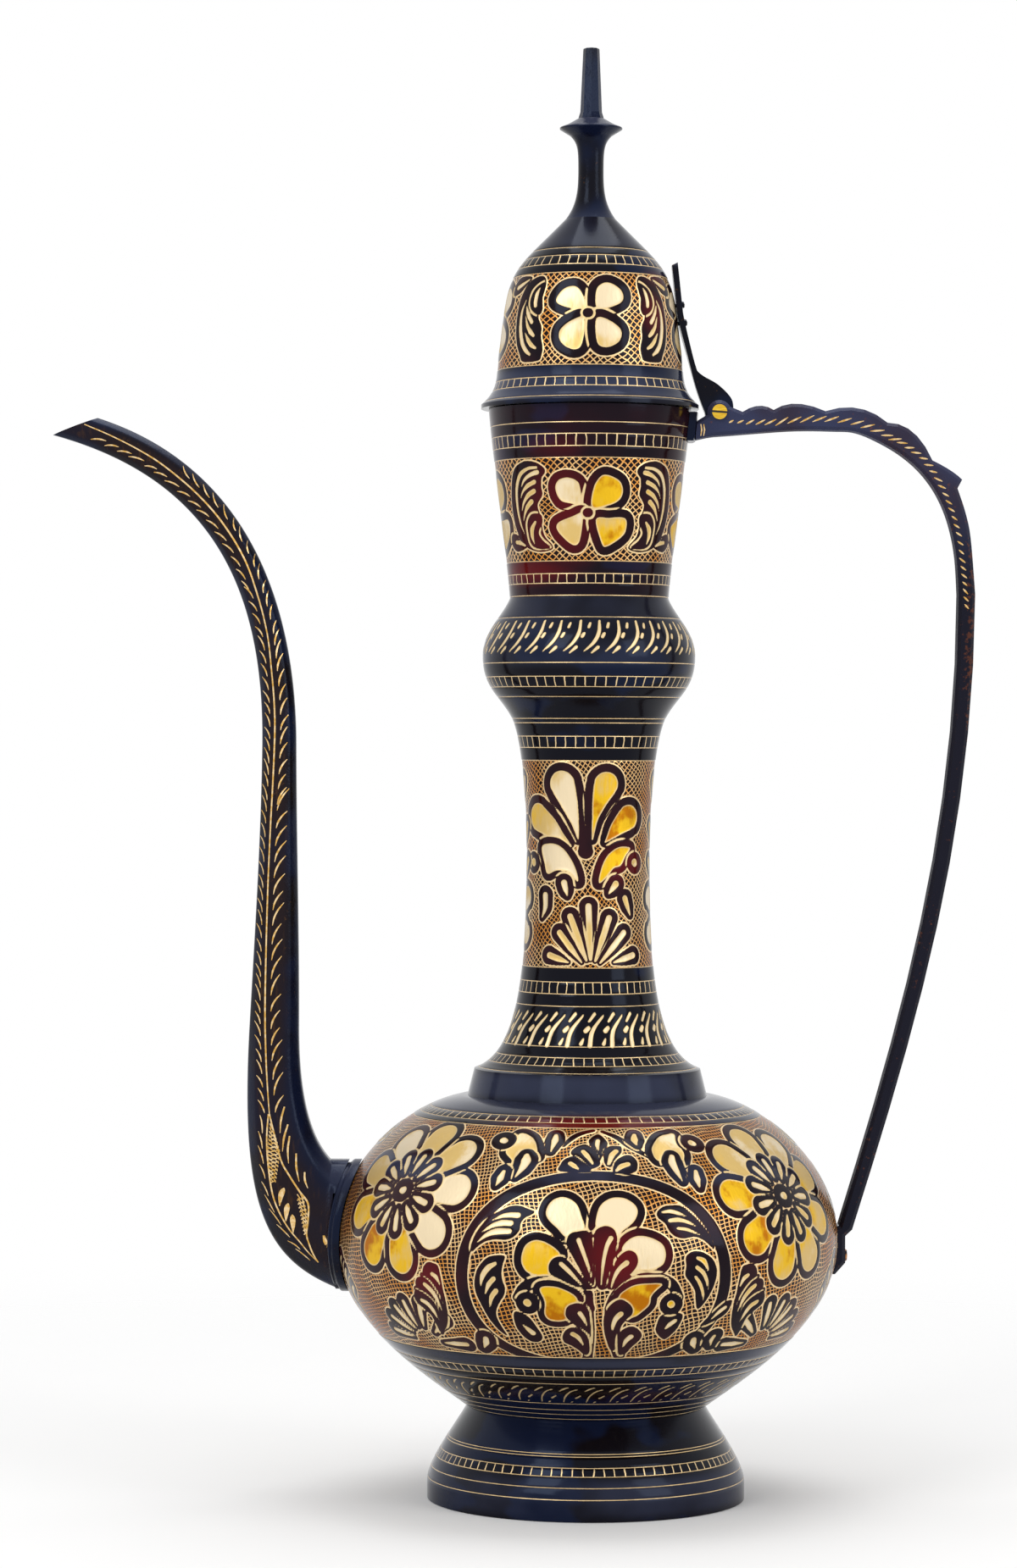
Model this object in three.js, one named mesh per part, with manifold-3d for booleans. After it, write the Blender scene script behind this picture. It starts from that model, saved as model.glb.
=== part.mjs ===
// A covered brass ewer: a footed round body, a waisted neck with a bulb and a tall mouth collar,
// a domed lid hinged in the forked head of a cast handle, and a long faceted spout.
// Millimetres, +Z up. The spout points along -X, the handle along +X, and the vessel stands on
// its foot ring at level 0. Every shell is turned about the vessel's own axis.

import * as THREE from 'three';
import { mergeVertices } from 'three/addons/utils/BufferGeometryUtils.js';
import Module from 'manifold-3d';

const wasm = await Module();
wasm.setup();

// Sheet, seams and fits
const wall = 1.6;
const seamLap = 3;
const seamFit = 0.1;
const seatFit = 0.3;
const turnFit = 0.3;
const facets = 36;

// Foot: a flared ring, hollow below, with a thicker standing edge
const footRadius = 62.3;
const footHeight = 36.2;
const footEdgeHeight = 7;
const footEdgeThickness = 3.2;
const waistRadius = 46.8;

// Body: a bowl and a shoulder joined at the widest level
const bowlHeight = 65.8;
const bowlDip = 11;
const bellyRadius = 98.6;
const shoulderHeight = 56;
const neckOpening = 36;

// Neck: an upright band standing on the shoulder, then the waisted tube
const bandRadius = 47;
const bandTopRadius = 44.4;
const bandHeight = 10.4;
const neckRadius = 24.2;
const neckRise = 81.6;
const neckTopRadius = 29.9;
const neckTopRise = 55.3;

// Bulb and mouth collar above the neck
const bulbRadius = 41.8;
const bulbLowerHeight = 25;
const bulbUpperHeight = 22.7;
const collarRootRadius = 31.2;
const collarHeight = 74.2;
const mouthRadius = 39.8;

// Lid: a flange that rests on the mouth, a hollow skirt and a dome
const flangeRadius = 42.8;
const flangeThickness = 1.6;
const flangeSeatInset = 2.4;
const skirtTopRadius = 35.4;
const skirtHeight = 23.9;
const domeHeight = 49.3;
const stemBaseRadius = 9.8;

// Finial: a waisted stem with a thin disc, riveted through the dome, and a faceted spike
const stemRadius = 5;
const stemLowerHeight = 19;
const stemUpperHeight = 13.8;
const discNeckRadius = 8.2;
const discRadius = 12.3;
const discHeight = 3.3;
const discRim = 0.8;
const discCrown = 3.6;
const spikeFacets = 8;
const spikeBaseRadius = 5;
const spikeRadius = 4.3;
const spikeTopRadius = 3.2;
const spikeBaseHeight = 2.3;
const spikeHeight = 27.6;
const spikeTopEdge = 0.6;
const tenonRadius = 2.6;
const tenonHeadRadius = 4.2;
const tenonHeadHeight = 1.2;

// Hinge: the screw's axis lies behind the lid flange and just below the mouth
const pivotBehindFlange = 7.9;
const pivotBelowMouth = 0.9;
const screwRadius = 1.7;
const screwHeadRadius = 2.95;
const screwHeadHeight = 1.5;
const screwSlotWidth = 0.8;
const screwSlotDepth = 0.7;
const screwSlotTilt = 4;
const tongueThickness = 5;
const tongueRadius = 5.6;
const slotDepth = 7.2;
const slotReach = 13.5;

// Lid strap: a leaf riveted to the dome, with a tongue that fills the fork
const strapThickness = 2.3;
const leafWidth = 12;
const leafTipWidth = 7;
const leafRise = 17;
const rivetBelowTip = 16.9;
const rivetSpacing = 7;
const rivetRadius = 0.8;
const rivetHeadRadius = 1.45;
const rivetHeadHeight = 1;
const leafTipSetBack = 1.7;
const leafRootRise = 13;

// Offsets from the hinge axis, across and up: the strap's inner edge above the tongue, and the thumb
// lobe behind it, each in the order in which the outline is drawn
const strapBend = [[-12.6, 22.4], [-9.6, 11.2], [-7.4, 4.6]];
const thumbLobe = [[4.9, 5.4], [-0.4, 11], [-7.4, 15.2], [-9.6, 19.2]];

// Handle: a flat bevelled bar, forked at the head and riveted to the belly at its tail
const handleWidth = 12.4;
const handleBevel = 1.3;
const cheekRadius = 4.8;
const armDepth = 8.6;
const gripThickness = 6.5;
const gripTailThickness = 5.4;
const armReach = 55.9;
const armDrop = 3.6;
const elbowReach = 97.4;
const elbowDrop = 71.1;
const tailBelowBelly = 6.8;
const tailThickness = 4;
const tailTipDrop = 7;
const tailStart = 8;
const gripSetOff = 4.1;
const gripEndRise = 11.3;
const tailRivetRadius = 1.6;
const tailRivetHeadRadius = 2.5;
const tailRivetHeadHeight = 0.9;

// Offsets from the hinge axis, across and up: the arm's underside, and the crest and far end of each
// lobe on the arm's back, from the elbow towards the hinge
const headDepth = 10.6;
const headStart = 9;
const headTopDrop = 3.6;
const armUnderside = [[-3.2, -9.4], [4, -8.8], [28.2, -6.9], [44.9, -6.9]];
const armLobes = [
  { crest: [54.6, 1.8], end: [41.6, 0.6] },
  { crest: [30.2, 3.5], end: [21.3, 1] },
  { crest: [15.5, 2.6], end: [9.1, 0.2] },
  { crest: [6.2, 1.4], end: [4.2, 2.2] },
];

// Places along the elbow's centre line, each with how far it stands out behind that line: the smooth
// back below the spur, the spur's tip, and the lobes above it
const elbowBack = [[0.8, 3.15], [0.69, 3.6], [0.565, 4.3]];
const spurTip = [0.54, 7.5];
const elbowLobes = [
  { crest: [0.475, 5.45], end: [0.385, 2.35] },
  { crest: [0.225, 5.7], end: [0.105, 3.8] },
];

// Saddle between the handle and the collar
const saddleThickness = 2.6;
const saddleHeight = 11.3;
const saddleWidth = 17;
const saddleBelowMouth = 1;

// Spout: an oval root on the belly, an upright shaft and a bent beak
const spoutWall = 1.5;
const rootAboveBelly = 4.3;
const rootHalfHeight = 24.8;
const rootHalfDepth = 18;
const rootStand = 1.4;
const shaftLevel = 185;
const shaftWidth = 19.4;
const shaftDepth = 18;
const shaftSetOff = 123.1;
const bendLevel = 295;
const bendWidth = 13.4;
const bendDepth = 13;
const bendSetOff = 121.6;
const beakLevel = 419.9;
const beakSetOff = 202.2;
const beakWidth = 18.9;
const beakDepth = 11;
const beakMouthAngle = 21;
const mountThickness = 3;
const mountStep = 1;
const mountRim = 1.2;
const mountHalfDepth = 21;
const spoutBoreRadius = 9;
const spoutBoreRise = 12;

// Levels, stacked from the ground up
const bellyLevel = footHeight + bowlHeight;
const tailLevel = bellyLevel - tailBelowBelly;
const rootLevel = bellyLevel + rootAboveBelly;
const shoulderLevel = bellyLevel + shoulderHeight;
const bandLevel = shoulderLevel + bandHeight;
const neckLevel = bandLevel + neckRise;
const bulbLevel = neckLevel + neckTopRise;
const bulbWidestLevel = bulbLevel + bulbLowerHeight;
const collarLevel = bulbWidestLevel + bulbUpperHeight;
const mouthLevel = collarLevel + collarHeight;
const lidLevel = mouthLevel + turnFit;
const skirtLevel = lidLevel + flangeThickness;
const domeLevel = skirtLevel + skirtHeight;
const stemLevel = domeLevel + domeHeight;
const stemWaistLevel = stemLevel + stemLowerHeight;
const discLevel = stemWaistLevel + stemUpperHeight;
const spikeLevel = discLevel + discHeight + discCrown;
const pivot = new THREE.Vector2(flangeRadius + pivotBehindFlange, mouthLevel - pivotBelowMouth);

// Materials
const lacquered = new THREE.MeshStandardMaterial({ color: 0x6b4a1e, roughness: 0.35, metalness: 0.7 });
const castMetal = new THREE.MeshStandardMaterial({ color: 0x1d1720, roughness: 0.35, metalness: 0.6 });
const brightBrass = new THREE.MeshStandardMaterial({ color: 0xd9b23c, roughness: 0.3, metalness: 1 });
const copper = new THREE.MeshStandardMaterial({ color: 0xa8643c, roughness: 0.45, metalness: 1 });

// Outlines: plain points, and smooth runs given by the direction at each end in degrees
const at = (across, up) => new THREE.Vector2(across, up);
const from = (origin, across, up) => at(origin.x + across, origin.y + up);
const last = (points) => points[points.length - 1];

function heading(degrees, length) {
  const angle = THREE.MathUtils.degToRad(degrees);
  return at(Math.cos(angle) * length, Math.sin(angle) * length);
}

// Each hold is how far the end's direction carries, as a share of the straight distance.
function sweep(start, startHeading, startHold, end, endHeading, endHold) {
  const span = start.distanceTo(end);
  const leave = start.clone().add(heading(startHeading, startHold * span));
  const arrive = end.clone().sub(heading(endHeading, endHold * span));
  return new THREE.CubicBezierCurve(start, leave, arrive, end);
}

function run(steps, ...corners) {
  return sweep(...corners).getPoints(steps);
}

// Moves an outline sideways, to the left of its travel. A level end stays at its own height.
function beside(points, distance, levelStart = false, levelEnd = false) {
  return points.map((point, i) => {
    const before = points[Math.max(i - 1, 0)];
    const after = points[Math.min(i + 1, points.length - 1)];
    const along = after.clone().sub(before).normalize();
    const isLevel = (i === 0 && levelStart) || (i === points.length - 1 && levelEnd);
    if (isLevel) return from(point, -distance / along.y, 0);
    return from(point, -distance * along.y, distance * along.x);
  });
}

// Radius of an outline at a level, on the straight between its two nearest points
function radiusAt(points, level) {
  const upper = Math.max(1, points.findIndex((point) => point.y >= level));
  const [below, above] = [points[upper - 1], points[upper]];
  return THREE.MathUtils.mapLinear(level, below.y, above.y, below.x, above.x);
}

// Turned and extruded geometry. A closed shell's outline runs up its outside and down its inside.
function turned(outline, count = facets) {
  return new THREE.LatheGeometry(outline, count).rotateX(Math.PI / 2);
}

function shell(outside, inside) {
  return turned([...outside, ...inside.slice().reverse(), outside[0]]);
}

// A solid of revolution under an outline, used to fit neighbours to a curved surface
function plugUnder(outline) {
  return turned([at(0, outline[0].y), ...outline, at(0, last(outline).y)]);
}

// A plate drawn in the upright plane of the spout and handle, centred on that plane
function plate(shape, thickness, bevel = 0) {
  const geometry = new THREE.ExtrudeGeometry(shape, {
    depth: thickness - 2 * bevel,
    bevelEnabled: bevel > 0,
    bevelThickness: bevel,
    bevelSize: bevel,
    bevelOffset: -bevel,
    bevelSegments: 1,
    curveSegments: 5,
  });
  return geometry.rotateX(Math.PI / 2).translate(0, thickness / 2 - bevel, 0);
}

// A prism drawn as seen from the handle side, with its outline in Y and Z, running along X
function prism(shape, startX, length) {
  const geometry = new THREE.ExtrudeGeometry(shape, { depth: length, bevelEnabled: false, curveSegments: 8 });
  const axes = new THREE.Matrix4().makeBasis(
    new THREE.Vector3(0, 1, 0),
    new THREE.Vector3(0, 0, 1),
    new THREE.Vector3(1, 0, 0),
  );
  return geometry.applyMatrix4(axes).translate(startX, 0, 0);
}

function ovalShape(centreLevel, halfWidth, halfHeight) {
  const shape = new THREE.Shape();
  shape.absellipse(0, centreLevel, halfWidth, halfHeight, 0, 2 * Math.PI);
  return shape;
}

// A round bar along Y through a point of the upright plane
function crossBar(point, radius, length, count = 24) {
  const geometry = new THREE.CylinderGeometry(radius, radius, length, count);
  return geometry.translate(point.x, 0, point.y);
}

// A round bar along a direction of the upright plane, starting at a point of it
function bar(point, degrees, radius, length, count = 16) {
  const geometry = new THREE.CylinderGeometry(radius, radius, length, count);
  geometry.translate(0, length / 2, 0).rotateX(Math.PI / 2);
  geometry.rotateY(THREE.MathUtils.degToRad(90 - degrees));
  return geometry.translate(point.x, 0, point.y);
}

// Joins and cuts
function solidOf(geometry) {
  const bare = geometry.clone();
  bare.deleteAttribute('normal');
  bare.deleteAttribute('uv');
  const merged = mergeVertices(bare, 1e-4);
  const corners = merged.index.array;
  const kept = [];
  for (let i = 0; i < corners.length; i += 3) {
    const [a, b, c] = corners.slice(i, i + 3);
    const hasArea = a !== b && b !== c && c !== a;
    if (hasArea) kept.push(a, b, c);
  }
  return new wasm.Manifold(new wasm.Mesh({
    numProp: 3,
    vertProperties: merged.attributes.position.array,
    triVerts: new Uint32Array(kept),
  }));
}

function geometryOf(solid) {
  const { vertProperties, triVerts } = solid.getMesh();
  const geometry = new THREE.BufferGeometry();
  geometry.setAttribute('position', new THREE.BufferAttribute(vertProperties, 3));
  geometry.setIndex(new THREE.BufferAttribute(triVerts, 1));
  geometry.computeVertexNormals();
  return geometry;
}

function join(first, ...others) {
  return geometryOf(others.reduce((solid, other) => solid.add(solidOf(other)), solidOf(first)));
}

function cut(first, ...others) {
  return geometryOf(others.reduce((solid, other) => solid.subtract(solidOf(other)), solidOf(first)));
}

function common(first, ...others) {
  return geometryOf(others.reduce((solid, other) => solid.intersect(solidOf(other)), solidOf(first)));
}

function piece(name, geometry, material) {
  const mesh = new THREE.Mesh(geometry, material);
  mesh.name = name;
  return mesh;
}

// Rebated seams: the lower shell keeps a tongue of half its wall, the upper one sits over it.
function seamBelow(radius, level) {
  const middle = radius - wall / 2 - seamFit;
  return [at(middle, level), at(middle, level + seamLap), at(radius - wall, level + seamLap)];
}

function seamAbove(radius, level) {
  const middle = radius - wall / 2;
  const step = level + seamLap + seamFit;
  return [at(radius - wall, step), at(middle, step), at(middle, level)];
}

// Outside outlines of the vessel, all from below upwards
const footOutline = [
  at(footRadius, 0),
  ...run(5, at(footRadius, footEdgeHeight), 91, 0.22, at(waistRadius, footHeight), 117, 0.21),
];
const bowlOutline = run(6, at(waistRadius, footHeight), 37.1, 0.25, at(bellyRadius, bellyLevel), 90, 0.385);
const shoulderOutline = run(
  7, at(bellyRadius, bellyLevel), 90, 0.38, at(bandRadius + wall, shoulderLevel), 171.5, 0.3);
const neckOutline = [
  at(bandRadius, shoulderLevel),
  ...run(6, at(bandTopRadius, bandLevel), 161, 0.2, at(neckRadius, neckLevel), 90, 0.59),
  ...run(4, at(neckRadius, neckLevel), 90, 0.24, at(neckTopRadius, bulbLevel), 68, 0.23).slice(1),
];
const bulbWidest = at(bulbRadius, bulbWidestLevel);
const bulbOutline = [
  ...run(3, at(neckTopRadius, bulbLevel), 63.5, 0.375, bulbWidest, 90, 0.465),
  ...run(3, bulbWidest, 90, 0.375, at(collarRootRadius, collarLevel), 112.6, 0.3).slice(1),
];
const collarOutline = run(
  4, at(collarRootRadius, collarLevel), 86, 0.21, at(mouthRadius, mouthLevel), 86, 0.2);
const skirtOutline = run(
  4, at(flangeRadius, skirtLevel), 139, 0.42, at(skirtTopRadius, domeLevel), 100, 0.5);
const domeOutline = run(
  6, at(skirtTopRadius, domeLevel), 96, 0.56, at(stemBaseRadius, stemLevel), 134.3, 0.54);
const lidOutline = [...skirtOutline, ...domeOutline.slice(1)];
const bodyOutline = [...bowlOutline, ...shoulderOutline.slice(1)];

// The foot carries the bowl on the level ring at its top.
function foot() {
  const seat = beside(footOutline.slice(1), wall, false, true);
  const inside = [at(footRadius - footEdgeThickness, 0), ...seat];
  return shell(footOutline, inside);
}

// The bowl's bottom dips inside the foot, from a level seat on the foot's top ring.
function bowl() {
  const seatRadius = waistRadius - 2 * wall;
  const dip = run(4, at(0, footHeight - bowlDip), 0, 0.5, at(seatRadius, footHeight), 30, 0.3);
  const inner = beside(bowlOutline.slice(1), wall, false, true);
  const floor = beside(dip, wall).slice(0, -1);
  floor[0].x = 0;
  const rim = seamBelow(bellyRadius, bellyLevel);
  const whole = turned([...dip, ...bowlOutline, ...rim, ...inner.reverse().slice(1), ...floor.reverse()]);
  return cut(whole, tailBore());
}

// The shoulder ends in a level ring under the neck band, open to the neck.
function shoulder() {
  const outside = [...shoulderOutline, at(neckOpening, shoulderLevel)];
  const under = at(neckOpening, shoulderLevel - wall);
  const inner = beside(shoulderOutline, wall).slice(2);
  const inside = [...seamAbove(bellyRadius, bellyLevel).reverse(), ...inner, under];
  const bored = shell(outside, inside);
  return cut(bored, spoutBore(), tailBore());
}

function neck() {
  const tube = beside(neckOutline, wall, true, true);
  return shell(neckOutline, [...tube.slice(0, -1), ...seamBelow(neckTopRadius, bulbLevel).reverse()]);
}

function bulb() {
  const inner = beside(bulbOutline, wall).slice(1, -1);
  const lower = seamAbove(neckTopRadius, bulbLevel).reverse();
  const upper = seamBelow(collarRootRadius, collarLevel).reverse();
  return shell(bulbOutline, [...lower, ...inner, ...upper]);
}

function collar() {
  const inner = beside(collarOutline, wall, false, true).slice(1);
  return shell(collarOutline, [...seamAbove(collarRootRadius, collarLevel).reverse(), ...inner]);
}

// The lid's flange has a level underside that rests on the mouth, and a hole for the stem's tenon.
function lid() {
  const seatRadius = mouthRadius - wall - flangeSeatInset;
  const inner = beside(lidOutline, wall).slice(2, -1);
  const hole = tenonRadius + seatFit;
  const outside = [at(flangeRadius, lidLevel), ...lidOutline, at(hole, stemLevel)];
  const crown = [at(tenonHeadRadius + wall, stemLevel - wall), at(hole, stemLevel - wall)];
  const inside = [at(seatRadius, lidLevel), ...inner, ...crown];
  const holes = rivetPlaces.map((place) => bar(backward(place, wall * 3), rivetTilt, rivetHole, wall * 6));
  return cut(shell(outside, inside), ...holes);
}

// The stem's tenon passes through the dome and is spread into a head below it.
function finialStem() {
  const headTop = stemLevel - wall - seatFit;
  return turned([
    at(0, headTop - tenonHeadHeight),
    at(tenonHeadRadius, headTop - tenonHeadHeight),
    at(tenonHeadRadius, headTop),
    at(tenonRadius, headTop),
    at(tenonRadius, stemLevel),
    ...run(6, at(stemBaseRadius, stemLevel), 127, 0.37, at(stemRadius, stemWaistLevel), 90, 0.37),
    ...run(4, at(stemRadius, stemWaistLevel), 90, 0.6, at(discNeckRadius, discLevel), 45, 0.3).slice(1),
    at(discRadius, discLevel + discHeight - discRim),
    at(discRadius, discLevel + discHeight),
    at(spikeBaseRadius, spikeLevel),
    at(0, spikeLevel),
  ], facets / 2);
}

function finialSpike() {
  const shaftTop = spikeLevel + spikeHeight;
  return turned([
    at(0, spikeLevel),
    at(spikeBaseRadius, spikeLevel),
    at(spikeRadius, spikeLevel + spikeBaseHeight),
    at(spikeTopRadius, shaftTop - spikeTopEdge),
    at(spikeTopRadius - spikeTopEdge, shaftTop),
    at(0, shaftTop),
  ], spikeFacets);
}

// The strap lies against the dome between its two rivets and stands free above and below them.
const leafTipLevel = domeLevel + domeHeight - leafRise;
const rivetLevels = [leafTipLevel - rivetBelowTip, leafTipLevel - rivetBelowTip - rivetSpacing];
const rivetPlaces = rivetLevels.map((level) => at(radiusAt(domeOutline, level) + seatFit, level));
const rivetTilt = THREE.MathUtils.radToDeg(
  rivetPlaces[1].clone().sub(rivetPlaces[0]).angle()) - 270;
const rivetHole = rivetRadius + seatFit;
const backward = (place, distance) => place.clone().sub(heading(rivetTilt, distance));

const aroundPivot = (offsets) => offsets.map(([across, up]) => from(pivot, across, up));

function strapOutline() {
  const inner = new THREE.SplineCurve([
    from(rivetPlaces[0], -leafTipSetBack, leafTipLevel - rivetLevels[0] - strapThickness / 2),
    rivetPlaces[0],
    rivetPlaces[1],
    ...aroundPivot(strapBend),
    from(pivot, -tongueRadius, 0),
  ]).getPoints(18);
  const shape = new THREE.Shape(inner);
  shape.absarc(pivot.x, pivot.y, tongueRadius, Math.PI, 2 * Math.PI, false);
  const outerLeaf = rivetPlaces.map((place) => place.clone().add(heading(rivetTilt, strapThickness)));
  shape.splineThru([
    ...aroundPivot(thumbLobe),
    outerLeaf[1],
    outerLeaf[0],
    from(rivetPlaces[0], strapThickness - leafTipSetBack, leafTipLevel - rivetLevels[0]),
  ]);
  return shape;
}

function lidStrap() {
  const outline = strapOutline();
  const leafShape = new THREE.Shape();
  const rootLevelOfLeaf = pivot.y + leafRootRise;
  leafShape.moveTo(-tongueThickness / 2, rootLevelOfLeaf);
  leafShape.lineTo(tongueThickness / 2, rootLevelOfLeaf);
  leafShape.splineThru([
    at(leafWidth / 2, rivetLevels[1]),
    at(leafWidth / 2, rivetLevels[0]),
    at(leafTipWidth / 2, leafTipLevel - strapThickness),
    at(0, leafTipLevel),
    at(-leafTipWidth / 2, leafTipLevel - strapThickness),
    at(-leafWidth / 2, rivetLevels[0]),
    at(-leafWidth / 2, rivetLevels[1]),
    at(-tongueThickness / 2, rootLevelOfLeaf),
  ]);
  const leaf = common(plate(outline, leafWidth), prism(leafShape, 0, pivot.x + slotReach));
  const tongue = plate(outline, tongueThickness);
  const flangeCorner = at(flangeRadius + seatFit, lidLevel - wall);
  const lidSurface = plugUnder([flangeCorner, ...beside(lidOutline, -seatFit)]);
  const holes = rivetPlaces.map((place) => bar(backward(place, wall), rivetTilt, rivetHole, wall * 4));
  return cut(join(leaf, tongue), lidSurface, crossBar(pivot, screwRadius + turnFit, handleWidth), ...holes);
}

// A small round-headed rivet through strap and dome, spread into a flat head inside
function strapRivet() {
  const grip = wall + seatFit * 2;
  const headBase = strapThickness + seatFit;
  const spread = rivetHeadHeight / 2;
  return turned([
    at(0, -grip - spread),
    at(rivetHeadRadius, -grip - spread),
    at(rivetHeadRadius, -grip),
    at(rivetRadius, -grip),
    at(rivetRadius, headBase),
    at(rivetHeadRadius, headBase),
    at(rivetHeadRadius * 0.8, headBase + rivetHeadHeight * 0.7),
    at(0, headBase + rivetHeadHeight),
  ], 12);
}

function placedRivet(name, geometry, material, place, tilt) {
  const rivet = piece(name, geometry, material);
  rivet.rotation.y = THREE.MathUtils.degToRad(90 - tilt);
  rivet.position.set(place.x, 0, place.y);
  return rivet;
}

// The slotted screw enters from the front cheek and ends in the back one.
function pivotScrew() {
  const front = -handleWidth / 2;
  const shank = new THREE.CylinderGeometry(screwRadius, screwRadius, handleWidth, 20);
  const head = new THREE.CylinderGeometry(screwHeadRadius, screwHeadRadius, screwHeadHeight, 32);
  head.translate(0, front - screwHeadHeight / 2, 0);
  const slot = new THREE.BoxGeometry(screwHeadRadius * 3, screwSlotDepth * 2, screwSlotWidth);
  slot.rotateY(THREE.MathUtils.degToRad(screwSlotTilt)).translate(0, front - screwHeadHeight, 0);
  return cut(join(shank, head), slot).translate(pivot.x, 0, pivot.y);
}

// The handle's centre line, in two runs: the elbow behind the hinge and the long grip.
const elbowStart = from(pivot, armReach, -armDrop);
const elbowEnd = from(pivot, elbowReach, -elbowDrop);
const tailFoot = at(radiusAt(bodyOutline, tailLevel), tailLevel);
const gripEnd = from(tailFoot, gripSetOff, gripEndRise);

// Points on one side of a run, at a half thickness that changes evenly along it
function edge(curve, steps, startHalf, endHalf) {
  return curve.getPoints(steps).map((point, i) => {
    const half = THREE.MathUtils.lerp(startHalf, endHalf, i / steps);
    const along = curve.getTangent(i / steps);
    return from(point, along.y * half, -along.x * half);
  });
}

// Points that stand out behind a curve, each given by its place along the curve and its distance
function behind(curve, places) {
  return places.map(([share, stand]) => {
    const along = curve.getTangent(share);
    return from(curve.getPoint(share), -along.y * stand, along.x * stand);
  });
}

// A round lobe from the path's last point, over a crest, to an end
function lobe(path, crest, end) {
  const start = path.currentPoint;
  const control = crest.clone().multiplyScalar(2).sub(start.clone().add(end).multiplyScalar(0.5));
  path.quadraticCurveTo(control.x, control.y, end.x, end.y);
}

function handleOutline() {
  const elbow = sweep(elbowStart, -20.6, 0.38, elbowEnd, -90, 0.48);
  const grip = sweep(elbowEnd, -90, 0.37, gripEnd, -107.2, 0.33);
  const halfArm = armDepth / 2;
  const halfGrip = gripThickness / 2;
  const halfTail = gripTailThickness / 2;
  const shape = new THREE.Shape();
  const neckEnd = -pivotBehindFlange - saddleThickness * 2;
  const back = tailFoot.x + tailThickness;
  const under = tailFoot.x - tailThickness;
  shape.moveTo(pivot.x + neckEnd, pivot.y - headDepth);
  shape.lineTo(pivot.x - headStart, pivot.y - headDepth);
  shape.splineThru([...aroundPivot(armUnderside), ...edge(elbow, 7, halfArm, halfGrip)]);
  edge(grip, 10, halfGrip, halfTail).slice(1).forEach((point) => shape.lineTo(point.x, point.y));
  shape.lineTo(under, gripEnd.y - tailRivetRadius);
  shape.lineTo(under, tailLevel - tailTipDrop);
  shape.lineTo(tailFoot.x, tailLevel - tailTipDrop);
  shape.lineTo(back, tailLevel - tailRivetHeadRadius);
  shape.lineTo(back, tailLevel + tailStart);
  const outside = edge(grip, 10, -halfGrip, -halfTail).reverse();
  outside.forEach((point) => shape.lineTo(point.x, point.y));
  shape.splineThru(behind(elbow, elbowBack));
  const [tip] = behind(elbow, [spurTip]);
  shape.lineTo(tip.x, tip.y);
  elbowLobes.forEach(({ crest, end }) => lobe(shape, ...behind(elbow, [crest, end])));
  armLobes.forEach(({ crest, end }) => lobe(shape, ...aroundPivot([crest, end])));
  shape.absarc(pivot.x, pivot.y, cheekRadius, 0.5, Math.PI + 0.2, false);
  shape.lineTo(pivot.x - headStart, pivot.y - headTopDrop);
  shape.lineTo(pivot.x + neckEnd, pivot.y - headTopDrop);
  return shape;
}

function handle() {
  const slotWidth = tongueThickness + 2 * turnFit;
  const slotLength = slotReach + flangeRadius;
  const slot = new THREE.BoxGeometry(slotLength, slotWidth, slotDepth * 3);
  slot.translate(pivot.x + slotReach - slotLength / 2, 0, pivot.y + slotDepth / 2);
  const bore = crossBar(pivot, screwRadius + seatFit, handleWidth * 2);
  const neckCut = plugUnder(beside(collarOutline, -saddleThickness - 2 * seatFit));
  const bodySurface = plugUnder(beside(bodyOutline, -seatFit));
  return cut(plate(handleOutline(), handleWidth, handleBevel), slot, bore, tailBore(), neckCut, bodySurface);
}

// The saddle is bent to the collar and stands under the lid flange.
function handleSaddle() {
  const block = new THREE.BoxGeometry(mouthRadius * 2, saddleWidth, saddleHeight);
  block.translate(mouthRadius * 1.5, 0, mouthLevel - saddleBelowMouth - saddleHeight / 2);
  const outer = plugUnder(beside(collarOutline, -saddleThickness - seatFit));
  const inner = plugUnder(beside(collarOutline, -seatFit));
  return cut(common(block, outer), inner);
}

// The hole through the handle's tail and the belly
function tailBore() {
  return bar(from(tailFoot, -wall * 4, 0), 0, tailRivetRadius + seatFit, wall * 12);
}

function tailRivet() {
  const headBase = tailThickness + seatFit;
  const inside = beside(bodyOutline, wall);
  const rims = [-1, 0, 1].map((side) => radiusAt(inside, tailLevel + side * tailRivetHeadRadius));
  const grip = tailFoot.x - Math.min(...rims) + seatFit;
  return turned([
    at(0, -grip - tailRivetHeadHeight),
    at(tailRivetHeadRadius, -grip - tailRivetHeadHeight),
    at(tailRivetHeadRadius, -grip),
    at(tailRivetRadius, -grip),
    at(tailRivetRadius, headBase),
    at(tailRivetHeadRadius, headBase),
    at(tailRivetHeadRadius * 0.8, headBase + tailRivetHeadHeight * 0.7),
    at(0, headBase + tailRivetHeadHeight),
  ], 16);
}

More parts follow.
